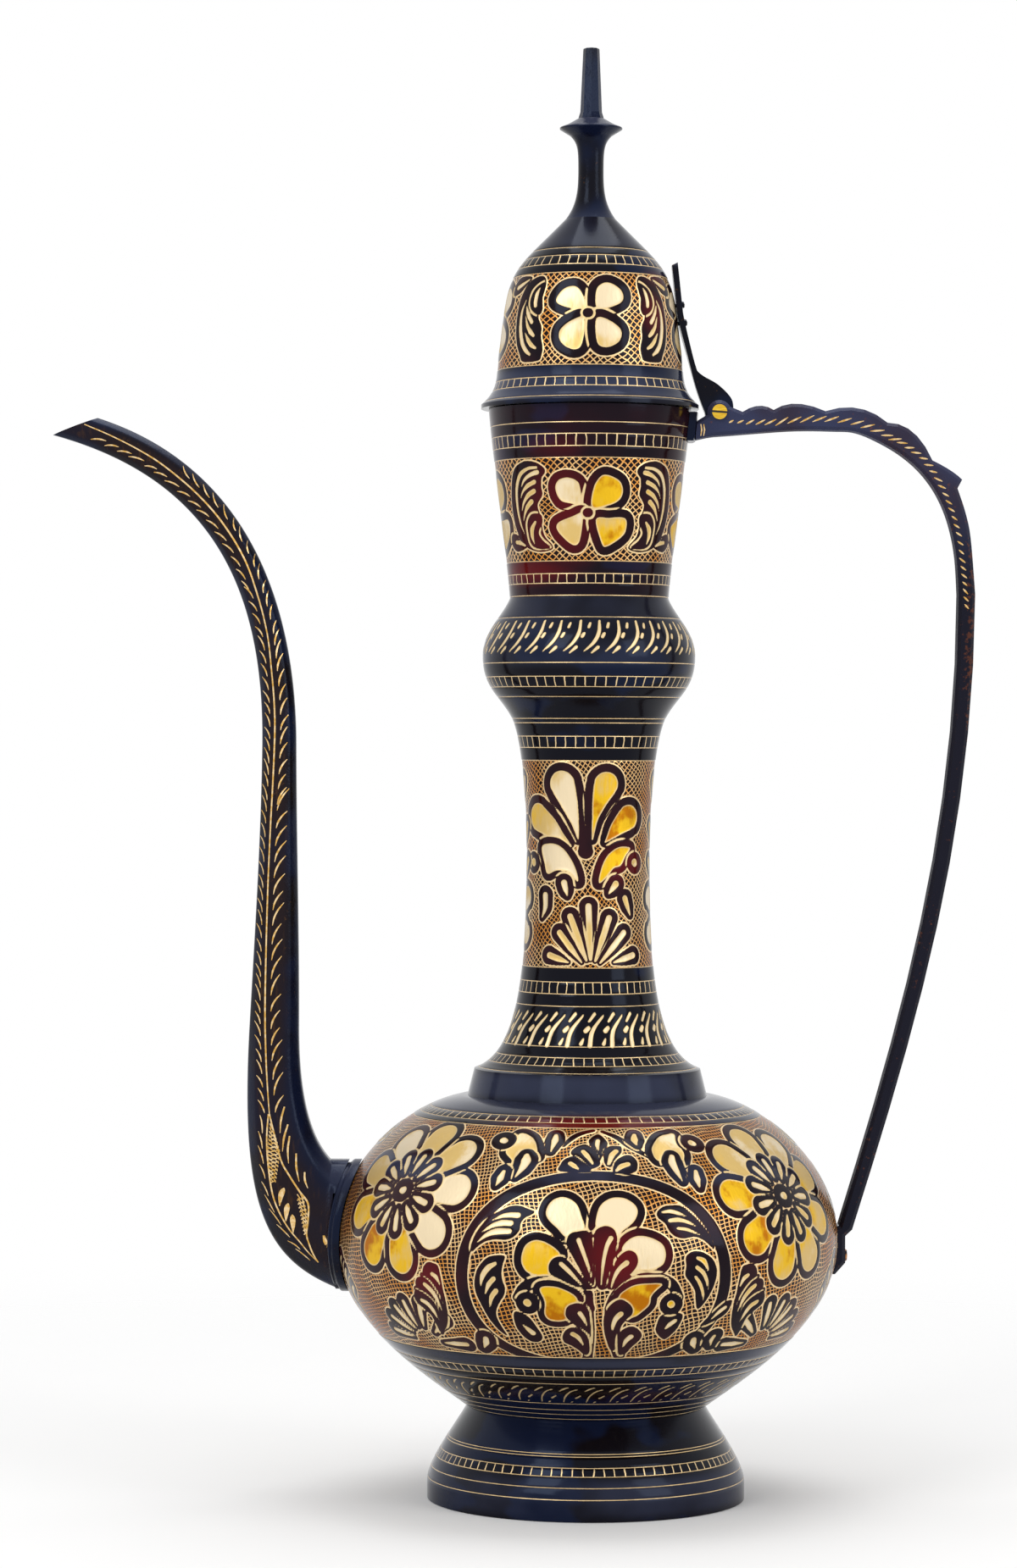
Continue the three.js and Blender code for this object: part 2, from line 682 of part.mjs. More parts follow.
// Spout: two rails in the upright plane hold its outer and inner edges, in three paired runs.
function spoutRails() {
  const side = (setOff, level, width, tilt, sign) =>
    at(-setOff, level).add(heading(tilt, sign * width / 2));
  const places = (sign, root) => [
    root,
    side(shaftSetOff, shaftLevel, shaftWidth, 0, sign),
    side(bendSetOff, bendLevel, bendWidth, 0, sign),
    side(beakSetOff, beakLevel, beakWidth, beakMouthAngle, sign),
  ];
  const rootX = -radiusAt(bodyOutline, rootLevel);
  const outer = places(-1, at(rootX + rootStand, rootLevel - rootHalfHeight));
  const inner = places(1, at(rootX - rootStand, rootLevel + rootHalfHeight));
  return [
    {
      steps: 8,
      outer: sweep(outer[0], 159.3, 0.29, outer[1], 87, 0.65),
      inner: sweep(inner[0], 136.4, 0.3, inner[1], 90, 0.3),
      depths: [rootHalfDepth, shaftDepth / 2],
    },
    {
      steps: 3,
      outer: sweep(outer[1], 87, 0.33, outer[2], 89.5, 0.33),
      inner: sweep(inner[1], 90, 0.33, inner[2], 90.3, 0.33),
      depths: [shaftDepth / 2, bendDepth / 2],
    },
    {
      steps: 11,
      outer: sweep(outer[2], 89.5, 0.43, outer[3], 164.9, 0.43),
      inner: sweep(inner[2], 90.3, 0.37, inner[3], 162.4, 0.41),
      depths: [bendDepth / 2, beakDepth / 2],
    },
  ];
}

// One facetted section between two rail points: narrow edge faces and a ridge on each side
function spoutSection(outerPoint, innerPoint, halfDepth, inset) {
  const centre = outerPoint.clone().add(innerPoint).multiplyScalar(0.5);
  const halfWidth = outerPoint.distanceTo(innerPoint) / 2 - inset;
  const depth = halfDepth - inset;
  const across = innerPoint.clone().sub(outerPoint).normalize();
  const quarter = [[1, 0.3], [0.66, 0.76], [0, 1], [-0.66, 0.76], [-1, 0.3]];
  const around = [...quarter, ...quarter.map(([u, v]) => [-u, -v])];
  return around.map(([u, v]) => new THREE.Vector3(
    centre.x + across.x * u * halfWidth, -v * depth, centre.y + across.y * u * halfWidth));
}

function spoutRings(inset) {
  const rings = [];
  for (const { steps, outer, inner, depths } of spoutRails()) {
    for (let i = rings.length ? 1 : 0; i <= steps; i += 1) {
      const share = i / steps;
      const ease = rings.length > steps ? share : Math.sqrt(share);
      const depth = THREE.MathUtils.lerp(depths[0], depths[1], ease);
      rings.push(spoutSection(outer.getPoint(share), inner.getPoint(share), depth, inset));
    }
  }
  return rings;
}

// Joins a closed chain of rings into one skin: up the outside and back down the bore.
function ringSkin(rings) {
  const count = rings[0].length;
  const positions = rings.flat().flatMap((point) => point.toArray());
  const index = [];
  rings.forEach((_, r) => {
    const next = ((r + 1) % rings.length) * count;
    for (let i = 0; i < count; i += 1) {
      const [a, b] = [r * count + i, r * count + (i + 1) % count];
      const [c, d] = [next + i, next + (i + 1) % count];
      index.push(a, d, b, a, c, d);
    }
  });
  const geometry = new THREE.BufferGeometry();
  geometry.setAttribute('position', new THREE.Float32BufferAttribute(positions, 3));
  geometry.setIndex(index);
  return geometry;
}

function spoutBore() {
  return bar(at(-bellyRadius * 1.2, rootLevel + spoutBoreRise), 0, spoutBoreRadius, bellyRadius * 0.5, 24);
}

function spout() {
  const intoBody = new THREE.Vector3(mountThickness * 8, 0, 0);
  const skin = (inset) => {
    const rings = spoutRings(inset);
    return [rings[0].map((point) => point.clone().add(intoBody)), ...rings];
  };
  const tube = ringSkin([...skin(0), ...skin(spoutWall).reverse()]);
  const clearOfMount = plugUnder(beside(bodyOutline, -mountThickness - mountStep - 2 * seatFit));
  return cut(tube, clearOfMount);
}

// The oval mount is bent to the belly in two steps, with the spout's bore through it.
function spoutMount() {
  const halfHeight = rootHalfHeight + mountRim;
  const oval = (rim) => prism(
    ovalShape(rootLevel, mountHalfDepth - rim, halfHeight - rim), -bellyRadius * 1.2, bellyRadius);
  const layer = (rim, thickness) => common(oval(rim), plugUnder(beside(bodyOutline, -thickness - seatFit)));
  const steps = join(layer(0, mountThickness), layer(mountRim, mountThickness + mountStep));
  return cut(steps, plugUnder(beside(bodyOutline, -seatFit)), spoutBore());
}

const ewer = new THREE.Group();
ewer.add(
  piece('foot', foot(), lacquered),
  piece('body_bowl', bowl(), lacquered),
  piece('body_shoulder', shoulder(), lacquered),
  piece('neck', neck(), lacquered),
  piece('neck_bulb', bulb(), lacquered),
  piece('mouth_collar', collar(), lacquered),
  piece('lid_dome', lid(), lacquered),
  piece('finial_stem', finialStem(), castMetal),
  piece('finial_spike', finialSpike(), castMetal),
  piece('lid_strap', lidStrap(), castMetal),
  placedRivet('strap_rivet_upper', strapRivet(), castMetal, rivetPlaces[0], rivetTilt),
  placedRivet('strap_rivet_lower', strapRivet(), castMetal, rivetPlaces[1], rivetTilt),
  piece('pivot_screw', pivotScrew(), brightBrass),
  piece('handle', handle(), castMetal),
  piece('handle_saddle', handleSaddle(), castMetal),
  placedRivet('handle_tail_rivet', tailRivet(), copper, tailFoot, 0),
  piece('spout', spout(), castMetal),
  piece('spout_mount', spoutMount(), castMetal),
);

// The part's origin is on the ground under the middle of its whole width.
const extent = new THREE.Box3().setFromObject(ewer);
ewer.position.x = -(extent.min.x + extent.max.x) / 2;
const part = new THREE.Group();
part.add(ewer);

export default part;
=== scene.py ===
import math
from functools import partial

import bpy
import numpy as np
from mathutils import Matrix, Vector
from mathutils.bvhtree import BVHTree


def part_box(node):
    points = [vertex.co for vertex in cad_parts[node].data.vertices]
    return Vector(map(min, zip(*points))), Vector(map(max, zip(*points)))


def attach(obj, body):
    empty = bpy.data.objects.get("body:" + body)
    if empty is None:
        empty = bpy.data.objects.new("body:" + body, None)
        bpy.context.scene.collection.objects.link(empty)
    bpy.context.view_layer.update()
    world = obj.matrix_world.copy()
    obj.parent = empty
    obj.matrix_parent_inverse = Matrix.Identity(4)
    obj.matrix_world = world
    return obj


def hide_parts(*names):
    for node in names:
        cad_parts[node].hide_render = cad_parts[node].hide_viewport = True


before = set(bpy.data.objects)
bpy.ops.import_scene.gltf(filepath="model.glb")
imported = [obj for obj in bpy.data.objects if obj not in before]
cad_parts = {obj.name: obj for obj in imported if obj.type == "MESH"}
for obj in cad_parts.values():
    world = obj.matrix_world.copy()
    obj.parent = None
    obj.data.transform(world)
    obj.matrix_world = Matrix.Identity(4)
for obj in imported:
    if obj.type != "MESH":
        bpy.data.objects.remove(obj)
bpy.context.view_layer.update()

# The pieces' lengths are millimetres from the vessel's own axis, and mesh_object turns them into metres.
# In the materials and the studio, lengths are metres.
MM = 0.001
SEED = 7
rng = np.random.default_rng(SEED)
bowl_low, bowl_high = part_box("body_bowl")
AXIS_X = (bowl_low.x + bowl_high.x) / 2
TURN = 2 * math.pi


def tone(*screen):
    """A colour written as screen values, turned into linear light."""
    def linear(value):
        share = value / 255
        return share / 12.92 if share <= 0.04045 else ((share + 0.055) / 1.055) ** 2.4
    return (*map(linear, screen), 1.0)


# Lacquers, with the painted reflections and shade that lie on them
# Navy: painted reflection of the sky, laid in patches on the near-black lacquer
NAVY_SHEEN = tone(15, 21, 43)
AUBERGINE = tone(13, 8, 11)
MAROON = tone(94, 10, 8)
INK = tone(23, 7, 6)
GRAPE = tone(45, 16, 16)
# Pale blue grey: painted reflection, laid on the lacquer in bands and on faces that look up
SHEEN_BLUE = tone(51, 55, 75)
CELL = tone(26, 10, 4)
# The handle's arm: slate and plum as painted sheen; after them, the darker painted shade down its grip
SLATE = tone(53, 57, 84)
PLUM = tone(51, 43, 57)
GRIP_SHADE = tone(23, 20, 29)
LACQUER_SHEEN = (0.56, 0.7, 1.0, 1.0)
LACQUER_LEVEL = 0.15

# Brass fills, lines and wear
CREAM = tone(234, 215, 179)
STRAW = tone(218, 186, 116)
AMBER = tone(230, 184, 34)
BURNT = tone(184, 112, 12)
FILL_EDGE = tone(228, 200, 146)
LINE_GOLD = tone(236, 207, 157)
HATCH_GOLD = tone(232, 190, 131)
HATCH_AMBER = tone(214, 143, 62)
CUT_AMBER = tone(206, 160, 78)
RUBBED = tone(96, 66, 36)
# Browner tone: painted light down the middle of the spout's side faces
BROWN = tone(34, 21, 17)
RUST = tone(112, 64, 38)
SCREW_BRASS = tone(238, 200, 70)
SCREW_SHADE = tone(214, 168, 52)
RIVET_COPPER = tone(176, 120, 72)


class Num:
    """A number in a node tree. Sums and products of it add math nodes."""

    def __init__(self, tree, socket):
        self.tree = tree
        self.socket = socket

    def math(self, operation, *others):
        node = self.tree.nodes.new("ShaderNodeMath")
        node.operation = operation
        for slot, value in zip(node.inputs, (self, *others)):
            if isinstance(value, Num):
                self.tree.links.new(value.socket, slot)
            else:
                slot.default_value = value
        return Num(self.tree, node.outputs[0])

    def __add__(self, other):
        return self.math("ADD", other)

    def __sub__(self, other):
        return self.math("SUBTRACT", other)

    def __mul__(self, other):
        return self.math("MULTIPLY", other)

    def most(self, other):
        return self.math("MAXIMUM", other)

    def size(self):
        return self.math("ABSOLUTE")

    def part(self):
        return self.math("FRACT")

    def turned_over(self):
        return self.math("MULTIPLY_ADD", -1.0, 1.0)

    def ramp(self, low, high, start=0.0, end=1.0):
        node = self.tree.nodes.new("ShaderNodeMapRange")
        node.interpolation_type = "SMOOTHSTEP"
        self.tree.links.new(self.socket, node.inputs["Value"])
        for name, value in {"From Min": low, "From Max": high, "To Min": start, "To Max": end}.items():
            node.inputs[name].default_value = value
        return Num(self.tree, node.outputs["Result"])

    def below(self, edge, blur):
        return self.ramp(edge - blur, edge + blur, 1.0, 0.0)


class Material:
    """A node material, with its shader's inputs and the place on the piece at hand."""

    def __init__(self, name):
        self.material = bpy.data.materials.new(name)
        self.material.use_nodes = True
        self.tree = self.material.node_tree
        self.inputs = self.tree.nodes["Principled BSDF"].inputs
        self.place = self.tree.nodes.new("ShaderNodeTexCoord").outputs["Object"]

    def noise(self, scale, detail=2.0, stretch=None, rough=0.5):
        """Noise at a scale, over places that stretch multiplies where it is given."""
        node = self.tree.nodes.new("ShaderNodeTexNoise")
        self.tree.links.new(self.stretched(*stretch) if stretch else self.place, node.inputs["Vector"])
        for name, value in {"Scale": scale, "Detail": detail, "Roughness": rough}.items():
            node.inputs[name].default_value = value
        return Num(self.tree, node.outputs["Fac"])

    def stretched(self, x, y, z):
        node = self.tree.nodes.new("ShaderNodeVectorMath")
        node.operation = "MULTIPLY"
        self.tree.links.new(self.place, node.inputs[0])
        node.inputs[1].default_value = (x, y, z)
        return node.outputs[0]

    def split(self, socket):
        node = self.tree.nodes.new("ShaderNodeSeparateXYZ")
        self.tree.links.new(socket, node.inputs[0])
        return [Num(self.tree, output) for output in node.outputs]

    def attribute(self, name):
        node = self.tree.nodes.new("ShaderNodeAttribute")
        node.attribute_name = name
        return self.split(node.outputs["Vector"])

    def normal(self):
        return self.split(self.tree.nodes.new("ShaderNodeNewGeometry").outputs["Normal"])

    def mix(self, share, low, high):
        node = self.tree.nodes.new("ShaderNodeMix")
        node.data_type = "RGBA"
        self.tree.links.new(share.socket, node.inputs["Factor"])
        for slot, value in zip((node.inputs[6], node.inputs[7]), (low, high)):
            if isinstance(value, tuple):
                slot.default_value = value
            else:
                self.tree.links.new(value, slot)
        return node.outputs[2]

    def finish(self, colour, metallic, roughness, height, depth, lacquered=False):
        """Fills the shader's sockets; depth is the height of the bumps in metres."""
        self.tree.links.new(colour, self.inputs["Base Color"])
        self.tree.links.new(roughness.socket, self.inputs["Roughness"])
        if isinstance(metallic, Num):
            self.tree.links.new(metallic.socket, self.inputs["Metallic"])
        else:
            self.inputs["Metallic"].default_value = metallic
        if lacquered:
            self.inputs["Specular IOR Level"].default_value = LACQUER_LEVEL
            self.inputs["Specular Tint"].default_value = LACQUER_SHEEN
        bump = self.tree.nodes.new("ShaderNodeBump")
        bump.inputs["Strength"].default_value = 1.0
        bump.inputs["Distance"].default_value = depth
        self.tree.links.new(height.socket, bump.inputs["Height"])
        self.tree.links.new(bump.outputs[0], self.inputs["Normal"])
        return self.material


def smoothstep(value, low, high):
    t = np.clip((value - low) / (high - low), 0, 1)
    return t * t * (3 - 2 * t)


def aim_at(degrees):
    """A step of length 1 at an angle from the right."""
    return np.array([math.cos(math.radians(degrees)), math.sin(math.radians(degrees))])


def lengths_along(points):
    """The length of the way from the first point to each one."""
    return np.concatenate([[0], np.cumsum(np.linalg.norm(np.diff(points, axis=0), axis=1))])


# Outlines of the turned shells, as radius and level
WALL = 1.6


def run(start, start_heading, start_hold, end, end_heading, end_hold, steps=160):
    """A curve that leaves and arrives at a heading in degrees, held for a share of its span."""
    start, end = np.array(start, float), np.array(end, float)
    span = np.linalg.norm(end - start)
    leave = start + aim_at(start_heading) * start_hold * span
    arrive = end - aim_at(end_heading) * end_hold * span
    t = np.linspace(0, 1, steps + 1)[:, None]
    return (1 - t) ** 3 * start + 3 * (1 - t) ** 2 * t * leave + 3 * (1 - t) * t * t * arrive + t ** 3 * end


def straight(start, end, steps=40):
    return np.linspace(start, end, steps + 1)


class Outline:
    """One or more runs end to end, read by the length along them."""

    def __init__(self, *runs, offset=0.0):
        self.points = np.vstack([runs[0]] + [r[1:] for r in runs[1:]])
        self.along = offset + lengths_along(self.points)
        self.start, self.end = self.along[0], self.along[-1]
        counts = np.cumsum([0] + [len(r) - 1 for r in runs])
        self.corners = [self.along[i] for i in counts]

    def at(self, along):
        return np.stack([np.interp(along, self.along, self.points[:, i]) for i in (0, 1)], axis=-1)

    def radius(self, along):
        return np.interp(along, self.along, self.points[:, 0])

    def outward(self, along, step=0.4):
        """The direction away from the vessel's inside, read over a short step either way."""
        ahead = self.at(np.minimum(along + step, self.end)) - self.at(np.maximum(along - step, self.start))
        normal = np.stack([ahead[:, 1], -ahead[:, 0]], axis=-1)
        return normal / np.linalg.norm(normal, axis=1)[:, None]

    def inside(self, top, bottom, count):
        """Points on the inner skin, from a distance below the end down to one above the start."""
        places = np.linspace(self.end - top, self.start + bottom, count)
        return self.at(places) - self.outward(places) * WALL


BELLY_RADIUS = 98.6
FOOT_TOP = (46.8, 36.2)
BELLY = (BELLY_RADIUS, 102)
BAND_TOP = (44.4, 168.4)
NECK_WAIST = (24.2, 250)
NECK_TOP = (29.9, 305.3)
BULB_WAIST = (41.8, 330.3)
BULB_TOP = (31.2, 353)
SKIRT_TOP = (35.4, 453)
LID_TOP = (9.8, 502.3)
foot_line = Outline(straight((62.3, 0), (62.3, 7)), run((62.3, 7), 91, 0.22, FOOT_TOP, 117, 0.21))
bowl_run = run(FOOT_TOP, 37.1, 0.25, BELLY, 90, 0.385)
shoulder_run = run(BELLY, 90, 0.38, (48.6, 158), 171.5, 0.3)
bowl_line = Outline(bowl_run)
shoulder_line = Outline(shoulder_run, offset=bowl_line.end)
body_line = Outline(bowl_run, shoulder_run)
neck_line = Outline(straight((47, 158), BAND_TOP), run(BAND_TOP, 161, 0.2, NECK_WAIST, 90, 0.59),
                    run(NECK_WAIST, 90, 0.24, NECK_TOP, 68, 0.23))
bulb_line = Outline(run(NECK_TOP, 63.5, 0.375, BULB_WAIST, 90, 0.465),
                    run(BULB_WAIST, 90, 0.375, BULB_TOP, 112.6, 0.3))
collar_line = Outline(run(BULB_TOP, 86, 0.21, (39.8, 427.2), 86, 0.2))
lid_line = Outline(run((42.8, 429.1), 139, 0.42, SKIRT_TOP, 100, 0.5),
                   run(SKIRT_TOP, 96, 0.56, LID_TOP, 134.3, 0.54))


# Engraving: brass fills and dark strokes, kept as signed distances over a turned surface.
# A mark is placed by s, millimetres around from its own centre line, and v, millimetres up the outline.
FAR = 7.0
COVER_GAP = 0.05
SEAM_INSIDE = 0.32
SEAM_HALF = 0.44
SEAM_FADE = 0.5
OUTLINE_EXTRA = 0.5
WINDOW_EXTRA = 2
SMALLEST_RADIUS = 12.0
BARE_TINT = 0.1
TINT_LEAN = 0.08
STROKE_FADE = 0.18
PATCH_FADE = 0.25
TINY = 1e-9


def step_gap(start, end, theta, v, radius):
    """The gap to one step of a line, the share along it, the place from its start, and the step itself."""
    across, up = radius * (end[0] - start[0]), end[1] - start[1]
    x, y = radius * (theta - start[0]), v - start[1]
    t = np.clip((x * across + y * up) / (across ** 2 + up ** 2 + TINY), 0, 1)
    return np.hypot(x - t * across, y - t * up), t, (x, y), (across, up)


class Field:
    """The ornament on the rows and columns of one turned surface."""

    def __init__(self, outline, rows, columns, guide=None):
        self.outline = guide or outline
        self.rng = np.random.default_rng(SEED)
        self.v = rows
        self.radius = outline.radius(rows)
        self.theta = (np.arange(columns) / columns) * TURN - math.pi
        shape = (len(rows), columns)
        self.fill = np.full(shape, FAR)
        self.dark = np.full(shape, FAR)
        self.tint = np.zeros(shape)
        self.maroon = np.zeros(shape)
        # The share of painted blue grey reflection, row by row
        self.painted_sheen = np.zeros(len(rows))

    def spots(self, points, centre, side):
        """Points given as s and v, turned into an angle around the vessel and a level."""
        around = side * points[:, 0] / self.outline.radius(points[:, 1])
        return np.stack([centre + around, points[:, 1]], axis=-1)

    def turned(self, middle):
        """The angle of each column from a middle, within half a turn either way."""
        return (self.theta - middle + math.pi) % TURN - math.pi

    def window(self, spots, margin):
        """The part of the surface around some spots, or None where they lie off it."""
        low, high = spots.min(axis=0), spots.max(axis=0)
        rows = np.flatnonzero((self.v > low[1] - margin) & (self.v < high[1] + margin))
        if not len(rows):
            return None
        reach = margin / max(self.radius[rows].min(), SMALLEST_RADIUS)
        middle = (low[0] + high[0]) / 2
        half = (high[0] - low[0]) / 2 + reach
        turned = self.turned(middle)
        columns = np.flatnonzero(np.abs(turned) < half)
        theta = turned[columns][None, :] + middle
        return np.ix_(rows, columns), theta, self.v[rows][:, None], self.radius[rows][:, None]

    def put(self, grid, fill, dark, tint, seam):
        """A later mark covers the ones before it. A seam is a thin bright edge where dark meets dark."""
        before = self.dark[grid]
        kept = np.maximum(self.fill[grid], -dark - COVER_GAP)
        if seam:
            edge = np.abs(dark - SEAM_INSIDE) - SEAM_HALF
            kept = np.minimum(kept, np.maximum(edge, before + SEAM_FADE))
        left = np.where(self.fill[grid] < 0, self.tint[grid], BARE_TINT)
        self.tint[grid] = np.where(fill < kept, tint, left)
        self.fill[grid] = np.minimum(kept, fill)
        self.dark[grid] = np.minimum(before, dark)

    def stroke(self, points, fill, dark, tint=0.25, centre=0.0, side=1, closed=False, seam=False):
        """A tapering mark along points; fill and dark give its half widths from end to end."""
        spots = self.spots(smooth_line(points, closed), centre, side)
        lean = self.rng.uniform(-TINT_LEAN, TINT_LEAN)
        found = self.window(spots, max(FAR, max(dark) + WINDOW_EXTRA))
        if found is None:
            return
        grid, theta, v, radius = found
        best_fill = np.full((len(v), theta.shape[1]), FAR)
        best_dark = np.full(best_fill.shape, FAR)
        along = np.zeros_like(best_fill)
        share = np.linspace(0, 1, len(spots))
        for i, (start, end) in enumerate(zip(spots, spots[1:])):
            gap, t, _, _ = step_gap(start, end, theta, v, radius)
            u = share[i] + t * (share[i + 1] - share[i])
            if fill:
                here = gap - np.interp(u, np.linspace(0, 1, len(fill)), fill)
                along = np.where(here < best_fill, u, along)
                best_fill = np.minimum(best_fill, here)
            best_dark = np.minimum(best_dark, gap - np.interp(u, np.linspace(0, 1, len(dark)), dark))
        if fill:
            best_dark -= OUTLINE_EXTRA
        self.put(grid, best_fill, best_dark, tint + STROKE_FADE * (0.5 - along) + lean, seam)

    def patch(self, corners, margin=None, tint=0.25, centre=0.0, side=1):
        """A filled shape with a dark margin around it, or without a margin a dark shape alone."""
        spots = self.spots(smooth_line(corners, True), centre, side)
        lean = self.rng.uniform(-TINT_LEAN, TINT_LEAN)
        found = self.window(spots, FAR)
        if found is None:
            return
        grid, theta, v, radius = found
        gap = np.full((len(v), theta.shape[1]), FAR)
        inside = np.zeros(gap.shape, bool)
        for start, end in zip(spots, spots[1:]):
            near, _, (x, y), (across, up) = step_gap(start, end, theta, v, radius)
            gap = np.minimum(gap, near)
            if abs(up) > TINY:
                inside ^= ((start[1] > v) != (end[1] > v)) & (x < across * y / up)
        distance = np.where(inside, -gap, gap)
        if margin is None:
            self.put(grid, np.full(gap.shape, FAR), distance, 0.0, True)
            return
        low, high = spots[:, 1].min(), spots[:, 1].max()
        shade = tint + PATCH_FADE * (0.5 - (v - low) / (high - low)) + lean
        self.put(grid, distance, distance - margin - OUTLINE_EXTRA, shade, True)

    def paint_sheen(self, low, high, strength):
        """Painted reflection: a bluer sheen on the lacquer between two levels, fading out over a few
        millimetres.
        """
        inside = np.minimum(self.v - low, high - self.v)
        self.painted_sheen = np.maximum(self.painted_sheen, strength * smoothstep(inside, -2, 3))

    def blush(self, s, v, wide, high, strength, centre=0.0):
        """Redder lacquer around a spot."""
        turned = self.turned(centre + s / self.outline.radius(v))
        around = (self.radius[:, None] * turned[None, :] / wide) ** 2
        spot = strength * np.exp(-around - ((self.v[:, None] - v) / high) ** 2)
        self.maroon = np.maximum(self.maroon, spot)


def smooth_line(points, closed=False, steps=5):
    """A curve through the points."""
    points = np.array(points, float)
    if closed:
        padded = np.vstack([points[-1:], points, points[:2]])
    else:
        padded = np.vstack([2 * points[0] - points[1], points, 2 * points[-1] - points[-2]])
    curve = []
    t = np.linspace(0, 1, steps, endpoint=False)[:, None]
    for i in range(len(padded) - 3):
        a, b, c, d = padded[i:i + 4]
        curve.append(0.5 * (2 * b + (c - a) * t + (2 * a - 5 * b + 4 * c - d) * t ** 2
                            + (3 * b - a - 3 * c + d) * t ** 3))
    return np.vstack(curve + [padded[-2:-1]])


class Place:
    """A centre line on a field, with the side towards which s is counted from it."""

    def __init__(self, field, centre, side=1):
        self.outline = field.outline
        self.centre = centre
        self.side = side
        self.stroke = partial(field.stroke, centre=centre, side=side)
        self.patch = partial(field.patch, centre=centre, side=side)
        self.blush = partial(field.blush, centre=centre)


def mark_drop(place, head, tail, half, margin):
    """A comma: round at the head, drawn out to a point at the tail."""
    place.stroke([head, tail], [half, half * 0.8, 0.2], [half + margin, half * 0.8 + margin, margin * 0.7],
                 0.2, seam=True)


def mark_leaf(place, points, half, margin):
    """A slim stroke, pointed at both ends."""
    place.stroke(points, [half * 0.7, half, half * 0.75, 0.25], [half + margin, half + margin, margin], 0.15)


def mark_eye(place, spot, step, fill, dark, tint):
    """A short round mark, from a spot to one close to it."""
    end = (spot[0] + step[0], spot[1] + step[1])
    place.stroke([spot, end], fill, [dark, dark], tint, seam=True)


def mark_fan(place, middle, angles, reach, root, half, spread):
    """Dark lobes around a point, each with a brass stroke."""
    for angle in angles:
        ends = [np.array(middle) + aim_at(angle) * length for length in (reach, root)]
        place.stroke(ends, [half * 0.8, half, 0.3], [spread, spread * 0.4], 0.05, seam=True)


# The two rosettes: how far each is turned, and the tint of each petal from the right round upwards
ROSETTES = {
    -1: (5, (0.0, 0.25, 0.4, 0.35, 0.35, 0.6, 0.9, 0.85, 0.05)),
    1: (15, (0.7, 0.35, 0.4, 0.5, 0.85, 0.95, 0.75, 0.6, 0.6))}
SMALL_PETALS = 11


def mark_rosette(place, middle, turn, tints):
    """Nine round petals about eleven small dark ones and a ringed centre."""
    stroke = partial(place.stroke, seam=True)

    def spot(angle, reach):
        return aim_at(angle) * reach + (0, middle)

    for k, tint in enumerate(tints):
        angle = turn + 360 // len(tints) * k
        stroke([spot(angle, 16), spot(angle, 21), spot(angle, 26.4)], [3.4, 5.6, 6.6], [5.6, 8, 9], tint)
    for k in range(SMALL_PETALS):
        angle = turn + 12 + 360 * k / SMALL_PETALS
        stroke([spot(angle, 15.4), spot(angle, 7.6)], [1.2, 1.3, 0.3], [3.7, 1.6], 0.15)
    stroke([spot(0, 0.6), spot(180, 0.6)], [1.6, 1.2], [4.4, 4.4], 0.1)


def moved(points, around=0, up=0):
    return [(s + around, v + up) for s, v in points]


def mark_rows(field, count, shapes):
    """Repeats short marks evenly all round."""
    for k in range(count):
        place = Place(field, TURN * (k + 0.25) / count)
        for points, fill in shapes:
            shift = field.rng.uniform(-0.3, 0.3)
            place.stroke(moved(points, shift), fill, [half + 0.1 for half in fill], -0.3)


def mark_spray(place, bodies, slips):
    """Dark bodies, and on them slim brass slips given as points and half widths."""
    for corners in bodies:
        place.patch(corners)
    for points, halves, tint in slips:
        place.stroke(points, halves, [half + 0.2 for half in halves], tint)


def mark_lobes(place, lobes, tint):
    """Dark bodies with one slip each."""
    for body, slip in lobes:
        mark_spray(place, [body], [(*slip, tint)])


